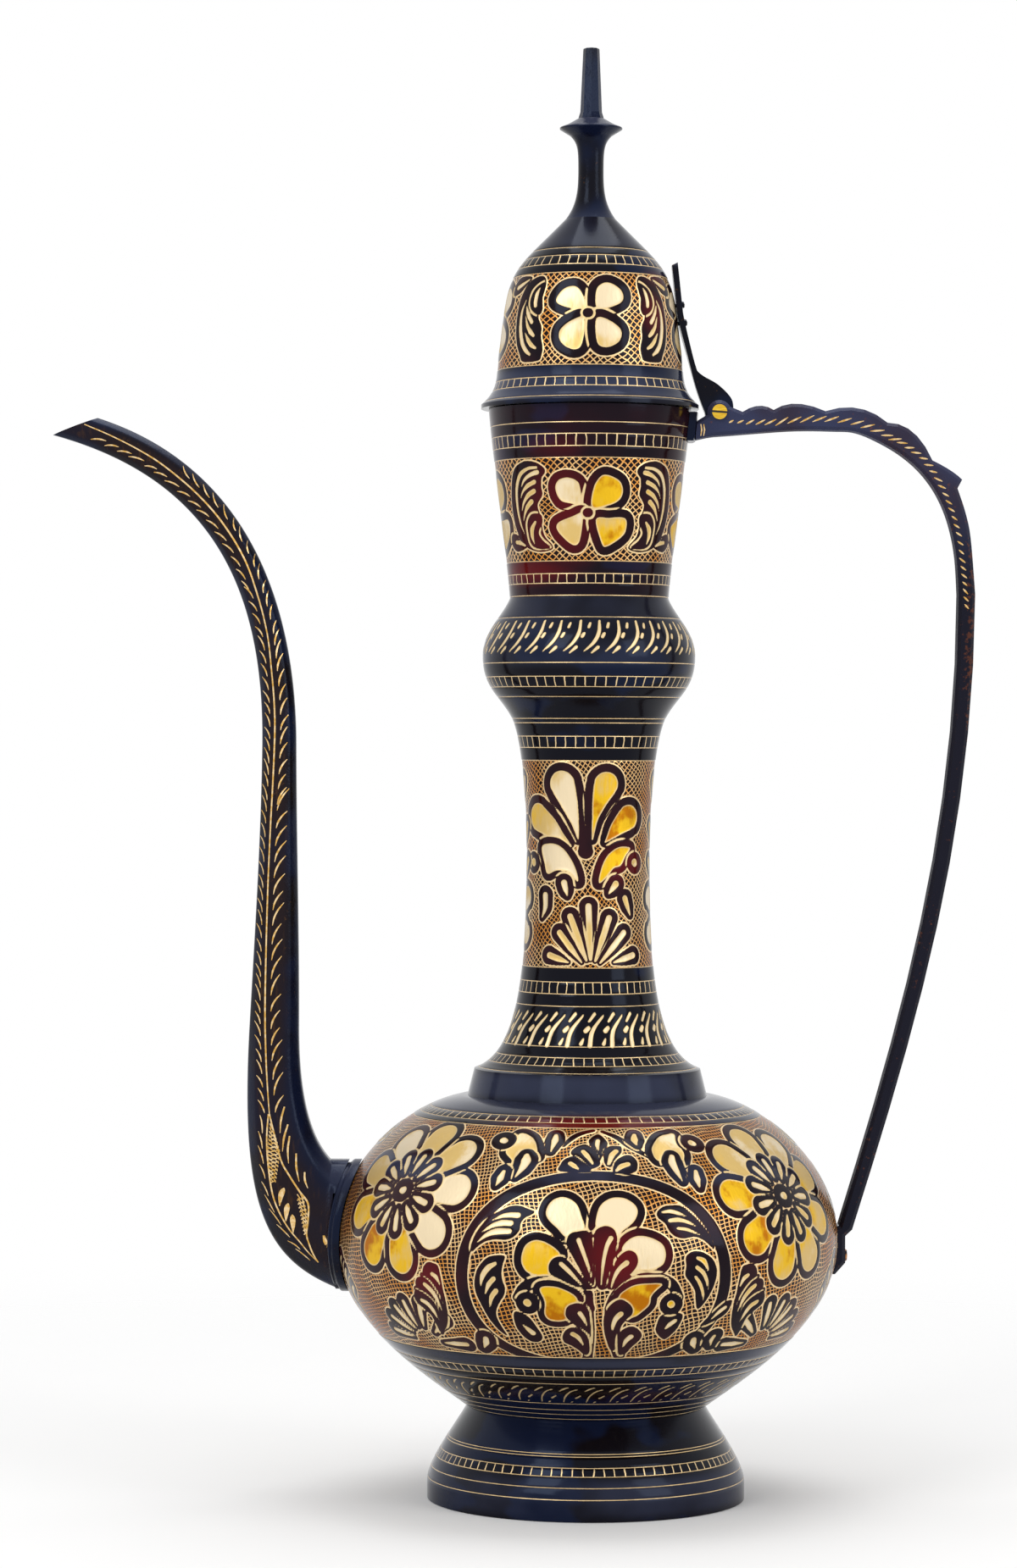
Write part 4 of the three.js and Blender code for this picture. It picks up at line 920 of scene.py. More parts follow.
LID_PETALS = (
    [(-14.2, 40), (-11.4, 44.8), (-6.8, 46.1), (-3.9, 43.4), (-2.3, 37.4), (-8, 37.2)],
    [(1.9, 37.4), (1.9, 45), (6.2, 47.6), (11.6, 44.6), (12, 40.2), (6.4, 37.4)],
    [(-3, 33.2), (-8, 32.4), (-12.6, 28.6), (-12.2, 24), (-7.2, 21), (-3.8, 23.2)],
    [(1.8, 33.2), (7, 32.4), (11.6, 28.6), (10.4, 24), (5.4, 21.9), (2, 24)])
LID_SPRAY = (
    [(25.6, 50.4), (30, 51.4), (35, 50.4), (38.4, 46), (37.4, 43.6), (33, 44.4), (29.8, 46.6)],
    [(20, 50.8), (25, 49.8), (29, 46.8), (32.4, 41.6), (34, 36), (34.6, 30), (33.8, 24.4), (31.6, 19.6),
     (29.8, 17), (22, 17), (20.4, 19.4), (20, 22.4), (20.8, 26.4), (20.6, 30.4), (22, 33.6), (22, 37),
     (20.2, 42), (18.6, 47.6)],
    [(18.8, 48), (22, 47.2), (25, 44.6), (26.6, 40.4), (25.6, 37), (22.2, 35), (20.2, 37), (20.2, 42)])
LID_SLIPS = (
    ([(28.6, 41.4), (31, 37), (31.7, 31), (30.6, 25), (28.6, 21.6), (26.2, 19.6)],
     [0.2, 0.55, 0.9, 0.9, 0.9, 0.5], 0.1),
    ([(28.4, 39.4), (27.4, 35.6), (25.4, 32.4)], [0.15, 0.85, 0.8], 0.1),
    ([(28.8, 35), (27.6, 31), (26, 28.6), (24.4, 27)], [0.15, 0.7, 0.95, 0.6], 0.1),
    ([(28.8, 28.2), (27.2, 25.4), (25.4, 23.3), (23.4, 22)], [0.2, 0.8, 0.85, 0.5], 0.15),
    ([(21.4, 46), (22.8, 43.6), (23.6, 40.6), (23.6, 38.8)], [0.2, 0.8, 0.9, 0.75], 0.1),
    ([(34.6, 46.8), (31.4, 48), (27.2, 49.8)], [0.9, 0.8, 0.3], 0.3))


def lid_marks(field):
    # Painted reflection: bluer bands at the lid's foot and high on it
    field.paint_sheen(0, 14, 1.2)
    field.paint_sheen(66, 90, 0.5)
    mark_quarters(field, LID_PETALS, 2.8, (0.02, 0.02, 0.02, 0.05), (0.2, 0.1, 0.3, 0.2),
                  [(-1.8, 35.4), (-1.2, 35.4)])
    mark_sprays(field, LID_SPRAY, LID_SLIPS, ((27, 36, 9, 11, 0.85), (30, 50, 12, 6, 0.6)))


# Turned shells with their bands. A line is a fine groove all round with three rows of its own.
LINE_HALF = 0.34
GROOVE = 0.14
CARVE = 0.24
GROUND_SHARE = 0.7
EDGE = 1e-6


def row_places(outline, lines, fine_zones, coarse, fine):
    """Levels of the rows: the corners, three for each line, and even steps between them."""
    fixed = list(outline.corners)
    for line in lines:
        if outline.start - 1 < line < outline.end + 1:
            fixed += [line - LINE_HALF, line, line + LINE_HALF]
    fixed = sorted(f for f in set(fixed) if outline.start <= f <= outline.end)
    rows = [fixed[0]]
    for low, high in zip(fixed, fixed[1:]):
        step = fine if any(a <= (low + high) / 2 <= b for a, b in fine_zones) else coarse
        count = max(1, round((high - low) / step))
        rows += list(np.linspace(low, high, count + 1)[1:])
    return np.array(rows)


def turned_shell(name, replaced, outline, columns, inner, material, lines, ladders=(), floral=(), marks=(),
                 body="vessel", coarse=0.9, fine=0.6, fine_zones=None, guide=None):
    """A shell with its outside carved by the marks, and inner as the radii and levels of its inside."""
    rows = row_places(outline, lines, fine_zones or floral, coarse, fine)
    field = Field(outline, rows, columns, guide)
    for mark in marks:
        mark(field)
    at_line = np.array([any(abs(v - line) < EDGE for line in lines) for v in rows], float)[:, None]
    in_floral = np.array([any(a - EDGE <= v <= b + EDGE for a, b in floral) for v in rows], float)[:, None]
    in_ladder = np.zeros(len(rows))
    for low, high, rungs in ladders:
        in_ladder = np.where((rows >= low - EDGE) & (rows <= high + EDGE), rungs / 100, in_ladder)
    # The brass fills and the hatched ground lie a little below the lacquered lines.
    fill_cut = 1 - smoothstep(field.fill, -0.9, 0.35)
    ground_cut = smoothstep(field.dark, -0.2, 1.0) * in_floral
    depth = CARVE * np.maximum(fill_cut, GROUND_SHARE * ground_cut) + GROOVE * at_line
    base, normal, inner = outline.at(rows), outline.outward(rows), np.array(inner, float)
    radius, level = (np.vstack([base[:, i:i + 1] - depth * normal[:, i:i + 1],
                                np.repeat(inner[:, i:i + 1], columns, axis=1)]) for i in (0, 1))

    def layer(rest, *values):
        """Three values at every point outside, and one value for all of them inside."""
        filled = np.full((*radius.shape, 3), rest)
        for i, value in enumerate(values):
            filled[:len(rows), :, i] = value
        return filled

    piece = lathe_object(name, radius, level, field.theta, attributes={
        "ornament": layer(FAR, field.fill, field.dark, field.tint),
        "zone": layer(0.0, at_line, in_floral, in_ladder[:, None]),
        # The chart holds the maroon share, the level and the share of painted reflection.
        "chart": layer(0.0, field.maroon, rows[:, None], field.painted_sheen[:, None])})
    settle(piece, material, body, "lacquered_brass", replaced)


def mesh_object(name, points, faces, sharp, attributes):
    """An object from points in millimetres from the axis. Attributes hold three values for each point."""
    mesh = bpy.data.meshes.new(name)
    mesh.from_pydata((points * MM).tolist(), [], faces)
    for key, values in attributes.items():
        layer = mesh.attributes.new(key, "FLOAT_VECTOR", "POINT")
        layer.data.foreach_set("vector", values.astype(np.float32).ravel())
    mesh.shade_smooth()
    mesh.set_sharp_from_angle(angle=math.radians(sharp))
    piece = bpy.data.objects.new(name, mesh)
    piece.location = (AXIS_X, 0, 0)
    bpy.context.scene.collection.objects.link(piece)
    return piece


def settle(piece, material, body, slot, *replaced):
    piece.data.materials.append(material)
    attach(piece, body)
    if replaced:
        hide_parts(*replaced)


def lathe_object(name, radius, level, theta, sharp=38, attributes=None):
    """A turned surface from rows of radii and levels. A row of radius 0 becomes one point."""
    count, columns = radius.shape
    x = radius * np.sin(theta)[None, :]
    y = -radius * np.cos(theta)[None, :]
    points = np.stack([x, y, level], axis=-1).reshape(-1, 3)
    index = np.arange(count * columns).reshape(count, columns)
    keep = np.ones(count * columns, bool)
    poles = [r for r in range(count) if np.all(radius[r] < EDGE)]
    for r in poles:
        index[r, :] = index[r, 0]
        keep[r * columns + 1:(r + 1) * columns] = False
    index = (np.cumsum(keep) - 1)[index]
    right = np.roll(index, -1, axis=1)
    faces = []
    for low in range(count):
        high = (low + 1) % count
        if low in poles and high in poles:
            continue
        corners = [index[low], right[low], right[high], index[high]]
        if low in poles:
            del corners[1]
        elif high in poles:
            del corners[2]
        faces += np.stack(corners, axis=-1).tolist()
    kept = {key: values.reshape(-1, 3)[keep] for key, values in (attributes or {}).items()}
    return mesh_object(name, points[keep], faces, sharp, kept)


# The narrow change from the painted navy reflection to near-black, and the depth of the engraving's bumps
NAVY_EDGE = 0.04
RELIEF_DEPTH = 0.00022


def hatching(m, theta, upward, sway, ground_radius, pitch, leans):
    """Two slanted families of fine lines, each a whole number of lines around the vessel."""
    def family(degrees):
        lean = math.cos(math.radians(degrees)) / pitch
        count = round(lean * TURN * ground_radius)
        place = theta * (count / TURN) + sway * lean + upward * (math.sin(math.radians(degrees)) / pitch)
        return (place.part() - 0.5).size().ramp(0.355, 0.415)

    return family(leans[0]).most(family(leans[1]))


def ground_colour(m, floral, maroon, painted_sheen, coarse, navy_below):
    """Near-black lacquer with navy patches of painted reflection, redder between the flowers, with painted
    blue grey reflection and maroon laid in.
    """
    # Navy patches where the noise is low: painted reflection
    sheen = m.noise(1.0, 3, (16, 16, 30)) + floral * 0.06
    ground = m.mix(sheen.ramp(navy_below, navy_below + NAVY_EDGE), NAVY_SHEEN, AUBERGINE)
    ground = m.mix(floral.ramp(0.45, 0.55), ground, m.mix(coarse.ramp(0.45, 0.6), INK, GRAPE))
    # Painted reflection: pale blue grey where its share is high
    ground = m.mix(painted_sheen * coarse.ramp(0.3, 0.6), ground, SHEEN_BLUE)
    return m.mix((maroon + (coarse - 0.5) * 0.6).ramp(0.15, 1.05), ground, MAROON)


def petal_colour(m, tint, edge, streak):
    """Cream through straw and amber to burnt orange, with a paler line along the petal's edge."""
    shade = tint + (m.noise(48, 3) - 0.5) * 1.5 + (streak - 0.5) * 0.25
    petal = m.mix(shade.ramp(0.12, 0.4), CREAM, STRAW)
    petal = m.mix(shade.ramp(0.5, 0.78), petal, AMBER)
    petal = m.mix((shade + (m.noise(150, 3) - 0.5) * 1.4).ramp(0.8, 1.2), petal, BURNT)
    return m.mix(edge.ramp(-0.75, -0.05), petal, FILL_EDGE)


def engraved(name, ground_radius, hatch_pitch, leans, navy_below=0.45):
    """Lacquered brass: dark ground, bright fills, hatched ground, grooved lines and ladder bands."""
    m = Material(name)
    fill, dark, tint = m.attribute("ornament")
    line, floral, ladder = m.attribute("zone")
    # The chart's third value is the share of painted reflection.
    maroon, along, painted_sheen = m.attribute("chart")
    x, y, _ = m.split(m.place)
    theta = x.math("ARCTAN2", y * -1.0)
    # A shaky hand: slow wander, quicker drift
    wander = m.noise(70) - 0.5
    drift = m.noise(260) - 0.5
    coarse = m.noise(22, 3)
    grain = m.noise(1500)
    upward = along + m.noise(55) * 5 + drift * 0.7
    hatch = hatching(m, theta, upward, wander * 5 + drift * 0.8, ground_radius, hatch_pitch, leans)
    open_ground = floral.ramp(0.45, 0.55) * dark.ramp(-0.12, 0.12)
    contour = (dark - 0.34 + drift * 0.3).size().below(0.3, 0.12)
    hatch_on = open_ground * hatch.most(contour)
    # Lines, ladders and fills
    groove = (line + drift * 0.4).ramp(0.42, 0.62)
    phase = (theta * (ladder * (100 / TURN)) + wander * 0.55 + drift * 0.25).part()
    rung = (phase - 0.5).size().below(0.055, 0.03) * ladder.ramp(0.05, 0.1)
    bright_line = groove.most(rung)
    fill_on = (fill + drift * 0.28).below(0.0, 0.12)
    metal = hatch_on.most(bright_line).most(fill_on)
    # Colours
    streak = m.noise(1.0, 3, (900, 900, 160))
    hatch_colour = m.mix(m.noise(60).ramp(0.35, 0.65), HATCH_GOLD, HATCH_AMBER)
    base = m.mix(open_ground, ground_colour(m, floral, maroon, painted_sheen, coarse, navy_below), CELL)
    base = m.mix(hatch_on, base, m.mix(contour, hatch_colour, LINE_GOLD))
    base = m.mix(bright_line, base, LINE_GOLD)
    base = m.mix(fill_on, base, petal_colour(m, tint, fill + drift * 0.3, streak))
    roughness = metal.ramp(0, 1, 0.13, 0.36) + fill_on * 0.12 + (grain - 0.5) * 0.06
    height = metal * -0.5 + fill_on * (streak - 0.5) * 0.5 + grain * 0.05
    return m.finish(base, metal * 0.84, roughness, height, RELIEF_DEPTH, lacquered=True)


# Places along the body's outline, from the bowl's foot up over the shoulder
BODY_LINES = (1.2, 4.9, 8.6, 13.6, 28.6, 33.6, 38.0, 45.6, 146.8, 150.0, 154.4)
BODY_FLORAL = (45.6, 146.8)
BOWL_BAND = (15, 27)
BODY_COLUMNS = 800
SEAM_MIDDLE = BELLY_RADIUS - WALL / 2
SEAM_TOP = 105
PLAY = 0.1


def bowl_shell(material):
    turned_shell(
        "bowl_shell", "body_bowl", bowl_line, BODY_COLUMNS,
        [(SEAM_MIDDLE - PLAY, 102), (SEAM_MIDDLE - PLAY, SEAM_TOP), (97.0, SEAM_TOP),
         *bowl_line.inside(0, 4, 6), (46.0, 37.8), (43.6, 37.8), (20, 29.6), (0, 26.8),
         (0, 25.2), (20, 28), (43.6, 36.2)],
        material, BODY_LINES, ((33.6, 38.0, 122),), (BODY_FLORAL,), (body_marks, bowl_band),
        coarse=2.6, fine=0.74, fine_zones=(BOWL_BAND, BODY_FLORAL), guide=body_line)


def shoulder_shell(material):
    turned_shell(
        "shoulder_shell", "body_shoulder", shoulder_line, BODY_COLUMNS,
        [(36, 158), (36, 156.4), *shoulder_line.inside(0, 5, 9),
         (97.0, SEAM_TOP + PLAY), (SEAM_MIDDLE, SEAM_TOP + PLAY), (SEAM_MIDDLE, 102)],
        material, BODY_LINES, ((150.0, 154.4, 92),), (BODY_FLORAL,), (body_marks,),
        coarse=1.6, fine=0.66, guide=body_line)


def foot_shell(material):
    turned_shell(
        "foot_shell", "foot", foot_line, 480, [*foot_line.inside(0, 9, 8), (59.1, 6), (59.1, 0)], material,
        (8.3, 12.8, 17.3, 20.8, 25.4, 26.5), ((17.3, 20.8, 90),), (), (foot_marks,))


def neck_shell(material):
    turned_shell(
        "neck_shell", "neck", neck_line, 400,
        [(29.0, 305.3), (29.0, 308.3), (28.3, 308.3), *neck_line.inside(1, 13, 12), (45.4, 158)], material,
        (12.6, 17.3, 21.5, 26.4, 42.6, 47.4, 52.0, 57.6, 138.2, 143.3, 147.8, 153.2),
        ((17.3, 21.5, 60), (47.4, 52.0, 48), (143.3, 147.8, 44)), ((57.6, 138.2),), (neck_marks,))


def bulb_shell(material):
    turned_shell(
        "bulb_shell", "neck_bulb", bulb_line, 420,
        [(30.3, 353), (30.3, 356), (29.6, 356), *bulb_line.inside(1, 4, 8),
         (28.3, 308.4), (29.1, 308.4), (29.1, 305.3)],
        material, (0.5, 10.7, 15.4, 19.8, 25.3, 44.4), ((15.4, 19.8, 62),), (), (bulb_marks,), coarse=0.8)


def collar_shell(material):
    turned_shell(
        "collar_shell", "mouth_collar", collar_line, 460,
        [(38.2, 427.2), *collar_line.inside(1, 5, 8), (29.6, 356.1), (30.4, 356.1), (30.4, 353)],
        material, (0.5, 5.2, 8.9, 13.8, 53.9, 58.4, 63.1, 67.6),
        ((5.2, 8.9, 54), (58.4, 63.1, 60)), ((13.8, 53.9),), (collar_marks,))


def lid_shell(material):
    turned_shell(
        "lid_shell", "lid_dome", lid_line, 460,
        [(2.9, 502.3), (2.9, 500.7), (5.8, 500.7), *lid_line.inside(4, 4, 12), (35.8, 427.5), (42.8, 427.5)],
        material, (1.6, 6.9, 10.5, 15.3, 52.2, 56.1, 60.7, 65.0),
        ((6.9, 10.5, 58), (56.1, 60.7, 46)), ((15.3, 52.2),), (lid_marks,), body="lid")


body_material = engraved("engraved_body", 88, 1.62, (100, 12))
neck_material = engraved("engraved_neck", 27, 1.6, (52, -40), 0.4)
cup_material = engraved("engraved_cup", 36, 2.0, (50, -48), 0.4)
for build in (bowl_shell, shoulder_shell, foot_shell):
    build(body_material)
neck_shell(neck_material)
for build in (bulb_shell, collar_shell, lid_shell):
    build(cup_material)


# Cast pieces
CAST_RELIEF = 0.0002
FINE_RELIEF = 0.0001


def cast_finish(m, colour, metallic, roughness, grain):
    height = m.noise(200, 3) * 0.8 + grain * 0.2
    return m.finish(colour, metallic, roughness, height, CAST_RELIEF, lacquered=True)


def cast(name, with_lit_band=False):
    """Cast brass under dark lacquer, rubbed through in small specks."""
    m = Material(name)
    coarse = m.noise(26, 3)
    grain = m.noise(1600)
    # Navy patches: painted reflection on the near-black lacquer.
    ground = m.mix(coarse.ramp(0.46, 0.58), NAVY_SHEEN, AUBERGINE)
    # Painted reflection: faces that look up turn pale blue grey.
    ground = m.mix(m.normal()[2].ramp(0.25, 0.9) * 0.8, ground, SHEEN_BLUE)
    worn = (m.noise(520, 4, rough=0.6) + (coarse - 0.5) * 0.4).ramp(0.66, 0.76) * 0.5
    if with_lit_band:
        # Painted light: a browner band down the middle of each side face, with rubbed streaks in it.
        across = m.attribute("across")[0]
        lit_band = (across + 0.12).size().below(0.6, 0.28) * coarse.ramp(0.3, 0.6, 0.55, 1.0)
        ground = m.mix(lit_band, ground, BROWN)
        streaks = m.noise(1.0, 4, (700, 700, 90)).ramp(0.55, 0.75) * lit_band
        worn = worn.most(streaks * 0.3)
    return cast_finish(m, m.mix(worn, ground, RUBBED), worn * 0.8, grain * 0.1 + 0.14 + worn * 0.2, grain)


def handle_lacquer():
    """The handle's finish: slate blue painted sheen on the arm, painted shade darker down the grip, with rust
    along its outer edge.
    """
    m = Material("handle_lacquer")
    coarse = m.noise(26, 3)
    grain = m.noise(1600)
    x, _, z = m.split(m.place)
    # Painted sheen and shade: the arm above is slate and plum, the grip below darker.
    arm = (z + (coarse - 0.5) * 0.05).ramp(0.35, 0.41)
    ground = m.mix(arm, GRIP_SHADE, m.mix(coarse.ramp(0.42, 0.62), SLATE, PLUM))
    outward, _, upward = m.normal()
    underside = outward.ramp(-0.5, -0.8).most(upward.ramp(-0.5, -0.8))
    edge = x.ramp(0.1755, 0.179) * z.ramp(0.25, 0.29)
    rust = (m.noise(520, 4, rough=0.6) + (coarse - 0.5) * 0.3 + edge * 0.14).ramp(0.62, 0.74) * 0.5
    roughness = grain * 0.1 + 0.18 + rust * 0.2 + underside * 0.4
    return cast_finish(m, m.mix(rust, ground, RUST), rust * 0.5, roughness, grain)


def turned_brass():
    """The hinge screw: bright turned brass, with painted shade on all that lies behind the head's face, which
    darkens the slot.
    """
    m = Material("turned_brass")
    turning = m.noise(1.0, 2, (300, 300, 2500))
    # Painted shade: all that lies behind the head's face, the slot's floor with it, turns dark and not
    # metallic.
    painted_slot_shade = m.split(m.place)[1].ramp(-0.0076, -0.0072)
    polished = m.mix(turning.ramp(0.3, 0.7), SCREW_BRASS, SCREW_SHADE)
    colour = m.mix(painted_slot_shade, polished, AUBERGINE)
    return m.finish(colour, painted_slot_shade.turned_over(), turning * 0.15 + 0.2, turning, FINE_RELIEF)


def worn_copper():
    m = Material("worn_copper")
    blotch = m.noise(500, 3)
    colour = m.mix(blotch.ramp(0.35, 0.6), RIVET_COPPER, AUBERGINE)
    return m.finish(colour, 0.8, blotch * 0.3 + 0.25, blotch, CAST_RELIEF)


def cut_brass():
    """The bare metal in the cuts on spout and handle."""
    m = Material("cut_brass")
    sparkle = m.noise(600, 3)
    colour = m.mix(sparkle.ramp(0.35, 0.65), LINE_GOLD, CUT_AMBER)
    return m.finish(colour, 0.95, sparkle * 0.2 + 0.24, sparkle, FINE_RELIEF)


cast_material = cast("cast_lacquer")
own_finish = {"handle": handle_lacquer(), "pivot_screw": turned_brass(), "handle_tail_rivet": worn_copper()}
for name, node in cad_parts.items():
    node.data.materials.clear()
    node.data.materials.append(own_finish.get(name, cast_material))


def chip(points, normals, halves, rise=0.05, sink=0.12):
    """A cut that shows the brass: a thin closed strip set into a surface along a path."""
    points, normals = np.array(points, float), np.array(normals, float)
    sides = np.cross(normals, np.gradient(points, axis=0))
    sides /= np.linalg.norm(sides, axis=1)[:, None]
    reach = sides * np.array(halves, float)[:, None]
    ring = np.stack([points + reach + normals * rise, points - reach + normals * rise,
                     points - reach - normals * sink, points + reach - normals * sink], axis=1)
    last = 4 * (len(points) - 1)
    faces = [(i + j, i + (j + 1) % 4, i + 4 + (j + 1) % 4, i + 4 + j)
             for i in range(0, last, 4) for j in range(4)]
    return ring.reshape(-1, 3), faces + [(3, 2, 1, 0), (last, last + 1, last + 2, last + 3)]


def closed_tube(rings):
    """Points and faces of rings of one size, joined in turn and the last one to the first."""
    size = len(rings[0])
    faces = []
    for r in range(len(rings)):
        n = (r + 1) % len(rings)
        for i in range(size):
            k = (i + 1) % size
            faces.append((r * size + i, n * size + i, n * size + k, r * size + k))
    return np.vstack(rings), faces


def cast_piece(name, parts, material, *replaced, sharp=35, attributes=None):
    """One object from several closed parts, each points and faces in millimetres from the axis."""
    faces, offset = [], 0
    for points, part_faces in parts:
        faces += [tuple(offset + i for i in face) for face in part_faces]
        offset += len(points)
    piece = mesh_object(name, np.vstack([points for points, _ in parts]), faces, sharp, attributes or {})
    settle(piece, material, "vessel", "cast_brass", *replaced)


def plain_turned(name, replaced, profile, columns, sharp=38):
    """A piece of the finial, turned from a profile of radii and levels."""
    radius, level = (np.repeat(column[:, None], columns, axis=1) for column in np.array(profile, float).T)
    theta = np.arange(columns) / columns * TURN - math.pi
    piece = lathe_object(name, radius, level, theta, sharp)
    settle(piece, cast_material, "lid", "cast_brass", replaced)


# The finial: stem with its disc, and an eight-sided spike
STEM_BOTTOM = 499.2
LID_SEAT = 502.3
SPIKE_SEAT = 542
TIP = 569.6
STEM_WAIST = (5, 521.3)
plain_turned("stem_skin", "finial_stem", [
    (0, STEM_BOTTOM), (4.2, STEM_BOTTOM), (4.2, 500.4), (2.6, 500.4), (2.6, LID_SEAT),
    *run(LID_TOP, 127, 0.37, STEM_WAIST, 90, 0.37, 24),
    *run(STEM_WAIST, 90, 0.6, (8.2, 535.1), 45, 0.3, 24)[1:],
    (12.1, 537.5), (12.3, 537.7), (12.3, 538.2), (12.1, 538.4), (9.5, 539.4), (5.3, 541.8), (5, SPIKE_SEAT),
    (0, SPIKE_SEAT)], 96)
plain_turned("spike_skin", "finial_spike", [
    (0, SPIKE_SEAT), (4.9, SPIKE_SEAT), (5, 542.1), (4.35, 544.2), (4.25, 544.6), (3.2, 569), (3.05, 569.4),
    (2.6, TIP), (0, TIP)], 8, 20)


# Spout: the two rails of its outline, read at the same number of places, with softened arrises
SPOUT_WALL = 1.5
MOUNT_TOP = 4.3
LOW_BEND = 185
HIGH_BEND = 295
ROOT_DEPTH = 18
LOW_DEPTH = 9
HIGH_DEPTH = 6.5
MOUTH_DEPTH = 5.5
ROOT_STEPS = 60
RISE_STEPS = 40
BEAK_STEPS = 90
BORE_STRIDE = 6
SEAT_SAMPLES = 300


def rail(root, bend, top, mouth, headings):
    """A rail from root to mouth through a low and a high bend; headings and holds for each of its runs."""
    places = ((root, bend), (bend, top), (top, mouth))
    runs = [run(start, leave, hold, end, arrive, end_hold, steps)
            for (start, end), (leave, hold, arrive, end_hold), steps
            in zip(places, headings, (ROOT_STEPS, RISE_STEPS, BEAK_STEPS))]
    return np.vstack([runs[0], runs[1][1:], runs[2][1:]])


outer_rail = rail((-97.1, 81.5), (-132.8, LOW_BEND), (-128.3, HIGH_BEND), (-211.02, 416.51),
                  ((159.3, 0.29, 87, 0.65), (87, 0.33, 89.5, 0.33), (89.5, 0.43, 164.9, 0.43)))
inner_rail = rail((-99.9, 131.1), (-113.4, LOW_BEND), (-114.9, HIGH_BEND), (-193.38, 423.29),
                  ((136.4, 0.3, 90, 0.3), (90, 0.33, 90.3, 0.33), (90.3, 0.37, 162.4, 0.41)))
half_depths = np.concatenate([
    ROOT_DEPTH - (ROOT_DEPTH - LOW_DEPTH) * np.sqrt(np.linspace(0, 1, ROOT_STEPS + 1)),
    np.linspace(LOW_DEPTH, HIGH_DEPTH, RISE_STEPS + 1)[1:],
    np.linspace(HIGH_DEPTH, MOUTH_DEPTH, BEAK_STEPS + 1)[1:]])
middle_rail = (outer_rail + inner_rail) / 2
half_widths = np.linalg.norm(inner_rail - outer_rail, axis=1) / 2
rail_across = (inner_rail - outer_rail) / (2 * half_widths)[:, None]
SECTION = np.array([(1, 0.3), (0.66, 0.76), (0, 1), (-0.66, 0.76), (-1, 0.3),
                    (-1, -0.3), (-0.66, -0.76), (0, -1), (0.66, -0.76), (1, -0.3)], float)


def soft_section(reach=0.16):
    """The ten-sided section, each corner replaced by three points on a small round."""
    points = []
    for before, corner, after in zip(np.roll(SECTION, 1, axis=0), SECTION, np.roll(SECTION, -1, axis=0)):
        first = corner + (before - corner) * reach
        third = corner + (after - corner) * reach
        points += [first, 0.25 * first + 0.5 * corner + 0.25 * third, third]
    return np.array(points)


def spout_ring(i, section, inset=0):
    """The section laid across the spout at one place of its rails."""
    u = section[:, 0] * (half_widths[i] - inset)
    return np.stack([middle_rail[i][0] + rail_across[i][0] * u, -section[:, 1] * (half_depths[i] - inset),
                     middle_rail[i][1] + rail_across[i][1] * u], axis=-1)


def seated(ring, stand):
    """A ring carried level to the surface that stands a little outside the body."""
    places = np.linspace(body_line.start, body_line.end, SEAT_SAMPLES)
    surface = body_line.at(places) + body_line.outward(places) * stand
    radius = np.interp(ring[:, 2], surface[:, 1], surface[:, 0])
    return np.column_stack([-np.sqrt(radius ** 2 - ring[:, 1] ** 2), ring[:, 1], ring[:, 2]])


def spout_skin():
    """The spout's tube with its bore, and each point's share across it."""
    section = soft_section()
    places = range(len(outer_rail))
    outside = [spout_ring(i, section) for i in places]
    inside = [spout_ring(i, section, SPOUT_WALL) for i in places[::-BORE_STRIDE]]
    rings = [seated(outside[0], MOUNT_TOP), *outside, *inside, seated(inside[-1], MOUNT_TOP)]
    across = np.zeros((len(rings) * len(section), 3))
    across[:, 0] = np.tile(section[:, 0], len(rings))
    return closed_tube(rings), across


spout_tube, spout_across = spout_skin()
cast_piece("spout_skin", [spout_tube], cast("spout_lacquer", True), "spout", sharp=50,
           attributes={"across": spout_across})

# The mount's oval pad, and its rounded steps as inset and stand from the belly
MOUNT_LEVEL = 106.3
MOUNT_HALF = (20.9, 26)
MOUNT_STEPS = ((0, 0.3), (0, 2.4), (0.2, 2.8), (0.6, 3), (1.1, 3.1), (1.3, 3.3), (1.3, 4), (1.6, 4.25),
               (2.1, MOUNT_TOP))
BORE_LEVEL = MOUNT_LEVEL + 12
BORE_RADIUS = 9


def mount_skin(count=96):
    """An oval pad on the belly in two rounded steps, with the spout's bore through it."""
    angle = np.linspace(0, TURN, count, endpoint=False)

    def oval(level, wide, high, stand):
        ring = np.column_stack([np.zeros(count), wide * np.sin(angle), level + high * np.cos(angle)])
        return seated(ring, stand)

    rings = [oval(MOUNT_LEVEL, MOUNT_HALF[0] - inset, MOUNT_HALF[1] - inset, stand)
             for inset, stand in MOUNT_STEPS]
    rings += [oval(BORE_LEVEL, BORE_RADIUS, BORE_RADIUS, stand) for stand in (MOUNT_TOP, MOUNT_STEPS[0][1])]
    return closed_tube(rings)


cast_piece("mount_skin", [mount_skin()], cast_material, "spout_mount", sharp=32)

